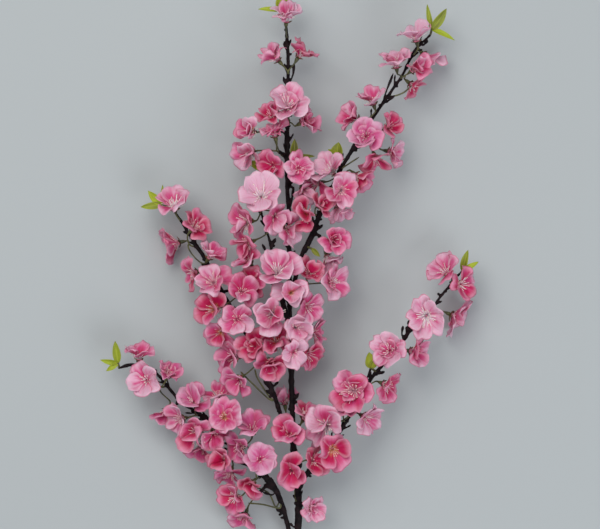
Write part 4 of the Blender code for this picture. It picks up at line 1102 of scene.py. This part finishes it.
def leaf_shape(foot, direction, length, half_width):
    """A folded, drooping blade, as a function of across and along."""
    turn = direction.to_track_quat("X", "Z").to_matrix()
    phase = rng.uniform(0, math.tau)
    bend = rng.uniform(-LEAF_BEND, LEAF_BEND)
    turn = turn @ Matrix.Rotation(rng.uniform(-LEAF_ROLL, LEAF_ROLL), 3, "X")

    def shape(across, along):
        width = np.sin(math.pi * np.clip(along, 0, 1) ** LEAF_SHOULDER) ** LEAF_ROUNDING
        width = np.maximum(width, LEAF_NECK * (1 - along))
        side = half_width * LEAF_FULLNESS * across * width
        rise = (LEAF_FOLD * half_width * np.abs(across) * width - LEAF_DROOP * length * along ** 2
                + LEAF_WAVE * half_width * np.sin(LEAF_WAVES * along + phase) * across ** 2)
        return placed(foot, turn, length * (along - LEAF_SINK), side + bend * length * along ** 2, rise)

    return shape


# ---- materials

PALE = (0.82, 0.44, 0.575, 1.0)
MIDDLE = (0.70, 0.080, 0.25, 1.0)
DEEP = (0.56, 0.006, 0.09, 1.0)
MAUVE = (0.68, 0.15, 0.38, 1.0)
RIM = (0.92, 0.62, 0.71, 1.0)
FOOT = (0.66, 0.035, 0.17, 1.0)
WHITE_FOOT = (0.90, 0.68, 0.76, 1.0)
YELLOW_HEART = (0.80, 0.46, 0.12, 1.0)
ORANGE_HEART = (0.80, 0.20, 0.05, 1.0)
PALE_STAMEN = (0.95, 0.82, 0.86, 1.0)
PINK_STAMEN = (0.88, 0.46, 0.56, 1.0)
WHITE_STAMEN = (1.0, 0.94, 0.96, 1.0)
ANTHER = (0.95, 0.84, 0.62, 1.0)
DOME = (0.80, 0.22, 0.36, 1.0)
GREEN_STALK = ((0.045, 0.050, 0.022, 1.0), (0.14, 0.14, 0.045, 1.0))
BROWN_CALYX = ((0.075, 0.035, 0.018, 1.0), (0.21, 0.10, 0.040, 1.0))
BARK = ((0.005, 0.0025, 0.004, 1.0), (0.024, 0.012, 0.014, 1.0))
LEAF = ((0.07, 0.07, 0.006, 1.0), (0.46, 0.54, 0.020, 1.0))
LEAF_EDGE = (0.46, 0.50, 0.05, 1.0)
LEAF_RIB = (0.48, 0.50, 0.07, 1.0)
LEAF_VEIN = (0.07, 0.09, 0.006, 1.0)

TO_MIDDLE = (0.05, 0.55)  # the tones between which pale goes over to middle
TO_DEEP = (0.45, 1.0)
CLOUDINESS = 0.9
FOOT_PINK_AND_SHADE = (0.55, 0.35)  # how far up from the foot a petal is deeper pink, partly its own colour and partly painted shade in the heart, and by how much
RIM_BAND = (0.6, 0.97)  # 1 is the petal's edge
RIM_STRENGTH = 0.42
HEM_BAND = (0.93, 0.99)
HEM_CHANCE = (0.4, 0.6)
VEIN_BAND = (0.50, 0.66)
VEIN_STRENGTH = 0.5
HEART_BAND = (0.40, 0.05)
HEART_STRENGTH = 0.75
HEART_RAYS = 0.6
WEAVE_FINENESS = 2500.0
LEAF_BANDS = ((0.6, 1.0, 0.3, LEAF_EDGE), (0.14, 0.0, 0.45, LEAF_RIB))  # from and to, strength and colour


def new_material(name, settings):
    """A material whose shader has the settings; also gives its node tree and its shader."""
    made = bpy.data.materials.new(name)
    made.use_nodes = True
    shader = made.node_tree.nodes["Principled BSDF"]
    for key, value in settings.items():
        shader.inputs[key].default_value = value
    return made, made.node_tree, shader


def node(tree, kind, inputs=None, **settings):
    """A node whose inputs are linked to sockets or set to values."""
    made = tree.nodes.new(kind)
    for key, value in settings.items():
        setattr(made, key, value)
    for key, value in (inputs or {}).items():
        if isinstance(value, bpy.types.NodeSocket):
            tree.links.new(value, made.inputs[key])
        else:
            made.inputs[key].default_value = value
    return made


def marks(tree, *names):
    """What the sheets wrote at every corner, as sockets."""
    return [node(tree, "ShaderNodeAttribute", attribute_name=name, attribute_type="GEOMETRY").outputs["Fac"]
            for name in names]


def calc(tree, operation, a, b=0.0, clamp=False):
    return node(tree, "ShaderNodeMath", {0: a, 1: b}, operation=operation, use_clamp=clamp).outputs[0]


def times(tree, a, b):
    return calc(tree, "MULTIPLY", a, b)


def plus(tree, a, b):
    return calc(tree, "ADD", a, b)


def minus(tree, a, b, clamp=False):
    return calc(tree, "SUBTRACT", a, b, clamp)


def smooth_step(tree, value, low, high):
    return node(tree, "ShaderNodeMapRange", {"Value": value, "From Min": low, "From Max": high},
                interpolation_type="SMOOTHSTEP").outputs["Result"]


def blend(tree, share, a, b, mode="MIX"):
    return node(tree, "ShaderNodeMix", {0: share, 6: a, 7: b}, data_type="RGBA", blend_type=mode).outputs[2]


def cloudy_noise(tree, place, scale, detail):
    made = node(tree, "ShaderNodeTexNoise", {"Vector": place, "Scale": scale, "Detail": detail})
    return made.outputs["Fac"]


def patches(tree, scale, detail):
    """Noise that stays with the piece."""
    place = node(tree, "ShaderNodeTexCoord").outputs["Object"]
    return cloudy_noise(tree, place, scale, detail)


def bump(tree, shader, height, strength, distance):
    made = node(tree, "ShaderNodeBump", {"Strength": strength, "Distance": distance, "Height": height})
    tree.links.new(made.outputs[0], shader.inputs["Normal"])


def new_group(name, inputs, outputs):
    """A shader node group with its sockets; also gives what comes in and what goes out."""
    group = bpy.data.node_groups.new(name, "ShaderNodeTree")
    for key, default in inputs.items():
        group.interface.new_socket(key, in_out="INPUT", socket_type="NodeSocketFloat").default_value = default
    for key in outputs:
        group.interface.new_socket(key, in_out="OUTPUT", socket_type="NodeSocketFloat")
    return group, group.nodes.new("NodeGroupInput").outputs, group.nodes.new("NodeGroupOutput").inputs


def streaks_group():
    """Fine lines that fan along a blade, and soft clouds, from its across and along values."""
    group, given, made = new_group("streaks", {"Across": 0.0, "Along": 0.0, "Chance": 0.0, "Fineness": 6.0},
                                   ("Lines", "Clouds"))
    shift = times(group, given["Chance"], 40.0)
    for output, stretch, scale, detail in (("Lines", given["Fineness"], 1.6, 3.0), ("Clouds", 1.3, 1.8, 1.0)):
        across = times(group, given["Across"], stretch)
        fan = node(group, "ShaderNodeCombineXYZ", {"X": across, "Y": given["Along"], "Z": shift}).outputs[0]
        group.links.new(cloudy_noise(group, fan, scale, detail), made[output])
    return group


STREAKS = streaks_group()


def streaks(tree, across, along, chance, fineness):
    """The lines and clouds of one material."""
    return node(tree, "ShaderNodeGroup", {"Across": across, "Along": along, "Chance": chance,
                                          "Fineness": fineness}, node_tree=STREAKS).outputs


def petal_material():
    """Pink silk: a cloudy tone from pale to deep that deepens towards the foot, partly as painted shade in the
    heart, a pale rim, fine veins and a darker or white foot.
    """
    made, tree, shader = new_material("silk petal", {
        "Roughness": 0.48, "Sheen Weight": 0.12, "Sheen Roughness": 0.4, "Specular IOR Level": 0.3,
        "Subsurface Weight": 0.3, "Subsurface Radius": (1.0, 0.5, 0.7), "Subsurface Scale": 0.0012})
    across, along, tone, chance, yellow, mauve, white = marks(tree, *PETAL_MARKS)
    lines, clouds = streaks(tree, across, along, chance, 5.0)

    cloudy = plus(tree, tone, times(tree, minus(tree, clouds, 0.5), CLOUDINESS))
    # deeper towards the foot and paler towards the tip: partly the petal's own pink, partly painted shade in
    # the heart
    cloudy = plus(tree, cloudy, times(tree, minus(tree, FOOT_PINK_AND_SHADE[0], along), FOOT_PINK_AND_SHADE[1]))
    light = blend(tree, smooth_step(tree, cloudy, *TO_MIDDLE), PALE, MIDDLE)
    body = blend(tree, smooth_step(tree, cloudy, *TO_DEEP), light, DEEP)
    body = blend(tree, times(tree, mauve, 0.35), body, MAUVE)

    edge = calc(tree, "MAXIMUM", calc(tree, "ABSOLUTE", across), along)
    body = blend(tree, times(tree, smooth_step(tree, edge, *RIM_BAND), RIM_STRENGTH), body, RIM)
    veins = times(tree, smooth_step(tree, lines, *VEIN_BAND), minus(tree, 1.1, along))
    darker = blend(tree, 1.0, body, MIDDLE, "MULTIPLY")
    body = blend(tree, times(tree, veins, VEIN_STRENGTH), body, darker)

    foot = blend(tree, white, FOOT, WHITE_FOOT)
    heart = blend(tree, minus(tree, yellow, 1.0, clamp=True), YELLOW_HEART, ORANGE_HEART)
    foot = blend(tree, calc(tree, "MINIMUM", yellow, 1.0), foot, heart)
    reach = plus(tree, along, times(tree, minus(tree, lines, 0.5), HEART_RAYS))
    body = blend(tree, times(tree, smooth_step(tree, reach, *HEART_BAND), HEART_STRENGTH), body, foot)

    hem = times(tree, smooth_step(tree, edge, *HEM_BAND), smooth_step(tree, chance, *HEM_CHANCE))
    body = blend(tree, times(tree, hem, 0.5), body, DEEP)
    tree.links.new(body, shader.inputs["Base Color"])
    weave = times(tree, patches(tree, WEAVE_FINENESS, 1.0), 0.12)
    bump(tree, shader, plus(tree, times(tree, lines, 0.8), weave), 0.6, 0.0007)
    return made


def stamen_material():
    """Filaments from pale to pink, or white, with cream anthers and a pink dome in the heart."""
    made, tree, shader = new_material("stamen", {"Roughness": 0.55})
    tip, tone = marks(tree, "anther", "tone")
    color = blend(tree, smooth_step(tree, tone, 0.2, 0.9), PALE_STAMEN, PINK_STAMEN)
    color = blend(tree, smooth_step(tree, tone, -0.2, -0.8), color, WHITE_STAMEN)
    color = blend(tree, calc(tree, "MULTIPLY", tip, 0.8, clamp=True), color, ANTHER)
    color = blend(tree, smooth_step(tree, tip, -0.6, -0.9), color, DOME)
    tree.links.new(color, shader.inputs["Base Color"])
    return made


def stalk_material(name, dark, light):
    """A moulded stalk, darker and lighter in patches."""
    made, tree, shader = new_material(name, {"Roughness": 0.5})
    color = blend(tree, smooth_step(tree, patches(tree, 160.0, 2.0), 0.3, 0.7), dark, light)
    tree.links.new(color, shader.inputs["Base Color"])
    return made


def bark_material():
    """Nearly black moulded bark, rougher in patches, with a fine grain."""
    made, tree, shader = new_material("dark bark", {"Specular IOR Level": 0.15})
    worn = patches(tree, 220.0, 4.0)
    color = blend(tree, smooth_step(tree, worn, 0.35, 0.75), *BARK)
    tree.links.new(color, shader.inputs["Base Color"])
    rough = node(tree, "ShaderNodeMapRange", {"Value": worn, "To Min": 0.45, "To Max": 0.75})
    tree.links.new(rough.outputs[0], shader.inputs["Roughness"])
    bump(tree, shader, patches(tree, 1400.0, 2.0), 0.6, 0.0004)
    return made


def leaf_material():
    """Green silk with a yellower edge and rib and fine dark veins."""
    made, tree, shader = new_material("silk leaf", {
        "Roughness": 0.5, "Subsurface Weight": 0.2, "Subsurface Radius": (0.6, 1.0, 0.3),
        "Subsurface Scale": 0.0012})
    across, along, chance = marks(tree, *LEAF_MARKS)
    lines, clouds = streaks(tree, across, along, chance, 6.0)
    share = plus(tree, times(tree, chance, 0.6), times(tree, clouds, 0.5))
    body = blend(tree, smooth_step(tree, share, 0.1, 0.9), *LEAF)
    side = calc(tree, "ABSOLUTE", across)
    for low, high, amount, color in LEAF_BANDS:
        body = blend(tree, times(tree, smooth_step(tree, side, low, high), amount), body, color)
    body = blend(tree, times(tree, smooth_step(tree, lines, 0.5, 0.7), 0.3), body, LEAF_VEIN)
    tree.links.new(body, shader.inputs["Base Color"])
    bump(tree, shader, lines, 0.5, 0.0006)
    return made


# ---- the sprig

draw = random.Random(SEED)
umbels = [Umbel(branch, rows, draw) for branch, group in UMBELS.items() for rows in group]
settle_petals(umbels)
for umbel in umbels:
    umbel.fork_stalks()

bark, silk, stamen, leaf_silk = bark_material(), petal_material(), stamen_material(), leaf_material()
stalk = stalk_material("green stalk", *GREEN_STALK)
calyx = stalk_material("brown calyx", *BROWN_CALYX)


def nodes_of(kind, branch):
    """The CAD nodes of one kind on a branch."""
    return [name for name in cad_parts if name.startswith(f"{kind}_{branch}_")]


finished(wood_mesh(umbels), "wood", ["branches"], bark)

for branch in BRANCHES:
    blossoms = [b for u in umbels if u.branch == branch for b in u.blossoms]
    nodes = nodes_of("blossoms", branch)
    finished(petal_sheet(blossoms), f"petals_{branch}", nodes, silk, PETAL_BLADE)
    finished(stamen_mesh(blossoms), f"stamens_{branch}", nodes, stamen)
    finished(stalk_mesh(blossoms, branch), f"stalks_{branch}", nodes, stalk)
    sepals = Sheet(LEAF_MARKS[:2])
    for blossom in blossoms:
        for petal in blossom.petals:
            sepals.blade(*SEPAL_GRID, sepal_shape(blossom, petal))
    finished(sepals.bm, f"sepals_{branch}", nodes, calyx, LEAF_BLADE)

for branch in (name for name in BRANCHES if name in LEAF_TUFTS):
    sheet = Sheet(LEAF_MARKS)
    lines = []
    for foot, leaves in LEAF_TUFTS[branch]:
        foot = Vector(foot)
        base, _, _ = nearest_on_branch(branch, foot)
        lines.append([(base.lerp(foot, k / LEAF_STALK_STEPS), LEAF_STALK_RADIUS)
                      for k in range(LEAF_STALK_STEPS + 1)])
        at_tip = (foot - Vector(BRANCHES[branch][2][-1])).length < TIP_TUFT
        bright = TIP_BRIGHTNESS if at_tip else 0.0
        for *direction, length, half_width in leaves:
            shape = leaf_shape(foot, unit(direction), length, half_width)
            sheet.blade(*LEAF_GRID, shape, bright + BRIGHTNESS_SPREAD * rng.random())
    nodes = nodes_of("leaves", branch)
    finished(sheet.bm, f"leaves_fine_{branch}", nodes, leaf_silk, LEAF_BLADE)
    finished(tubes(lines, LEAF_STALK_SIDES), f"leaf_stalks_{branch}", nodes, stalk)

# ---- floor, light and camera

FLOOR_REACH = 3.0
WORLD_COLOR = (0.86, 0.92, 1.0, 1.0)
WORLD_STRENGTH = 0.35
LIGHTS = {  # place, aim, width, power and colour
    "key": ((-0.5, 0.8, 1.9), (0, 0, 0), 1.4, 24.0, (1.0, 0.98, 0.95)),
    "fill": ((1.0, -1.0, 1.5), (0, -0.1, 0), 1.2, 13.0, (0.92, 0.96, 1.0)),
}
CAMERA_HEIGHT = 2.5
VIEW_MIDDLE = (0.00667, 0.2204)
VIEW_WIDTH = 0.500
VIEW_LEVEL = 0.045  # the blossoms' middle height
SENSOR = 36.0

ground = bmesh.new()
bmesh.ops.create_grid(ground, x_segments=1, y_segments=1, size=FLOOR_REACH)
floor = linked("floor", mesh_of(ground, "floor"))
pale_floor, _, _ = new_material("pale floor", {"Base Color": (0.50, 0.53, 0.535, 1.0), "Roughness": 0.9})
floor.data.materials.append(pale_floor)

scene = bpy.context.scene
scene.view_settings.view_transform = "Standard"
scene.world = bpy.data.worlds.new("studio")
scene.world.use_nodes = True
background = scene.world.node_tree.nodes["Background"]
background.inputs["Color"].default_value = WORLD_COLOR
background.inputs["Strength"].default_value = WORLD_STRENGTH

for name, (place, aim, width, power, color) in LIGHTS.items():
    lamp = bpy.data.lights.new(name, "AREA")
    lamp.shape = "SQUARE"
    lamp.size = width
    lamp.energy = power
    lamp.color = color
    holder = linked(name, lamp)
    holder.location = place
    holder.rotation_euler = (Vector(aim) - Vector(place)).to_track_quat("-Z", "Y").to_euler()

lens = bpy.data.cameras.new("camera")
lens.sensor_width = SENSOR
lens.lens = SENSOR * (CAMERA_HEIGHT - VIEW_LEVEL) / VIEW_WIDTH
camera = linked("camera", lens)
camera.location = (VIEW_MIDDLE[0] - ORIGIN[0], VIEW_MIDDLE[1] - ORIGIN[1], CAMERA_HEIGHT)
scene.camera = camera
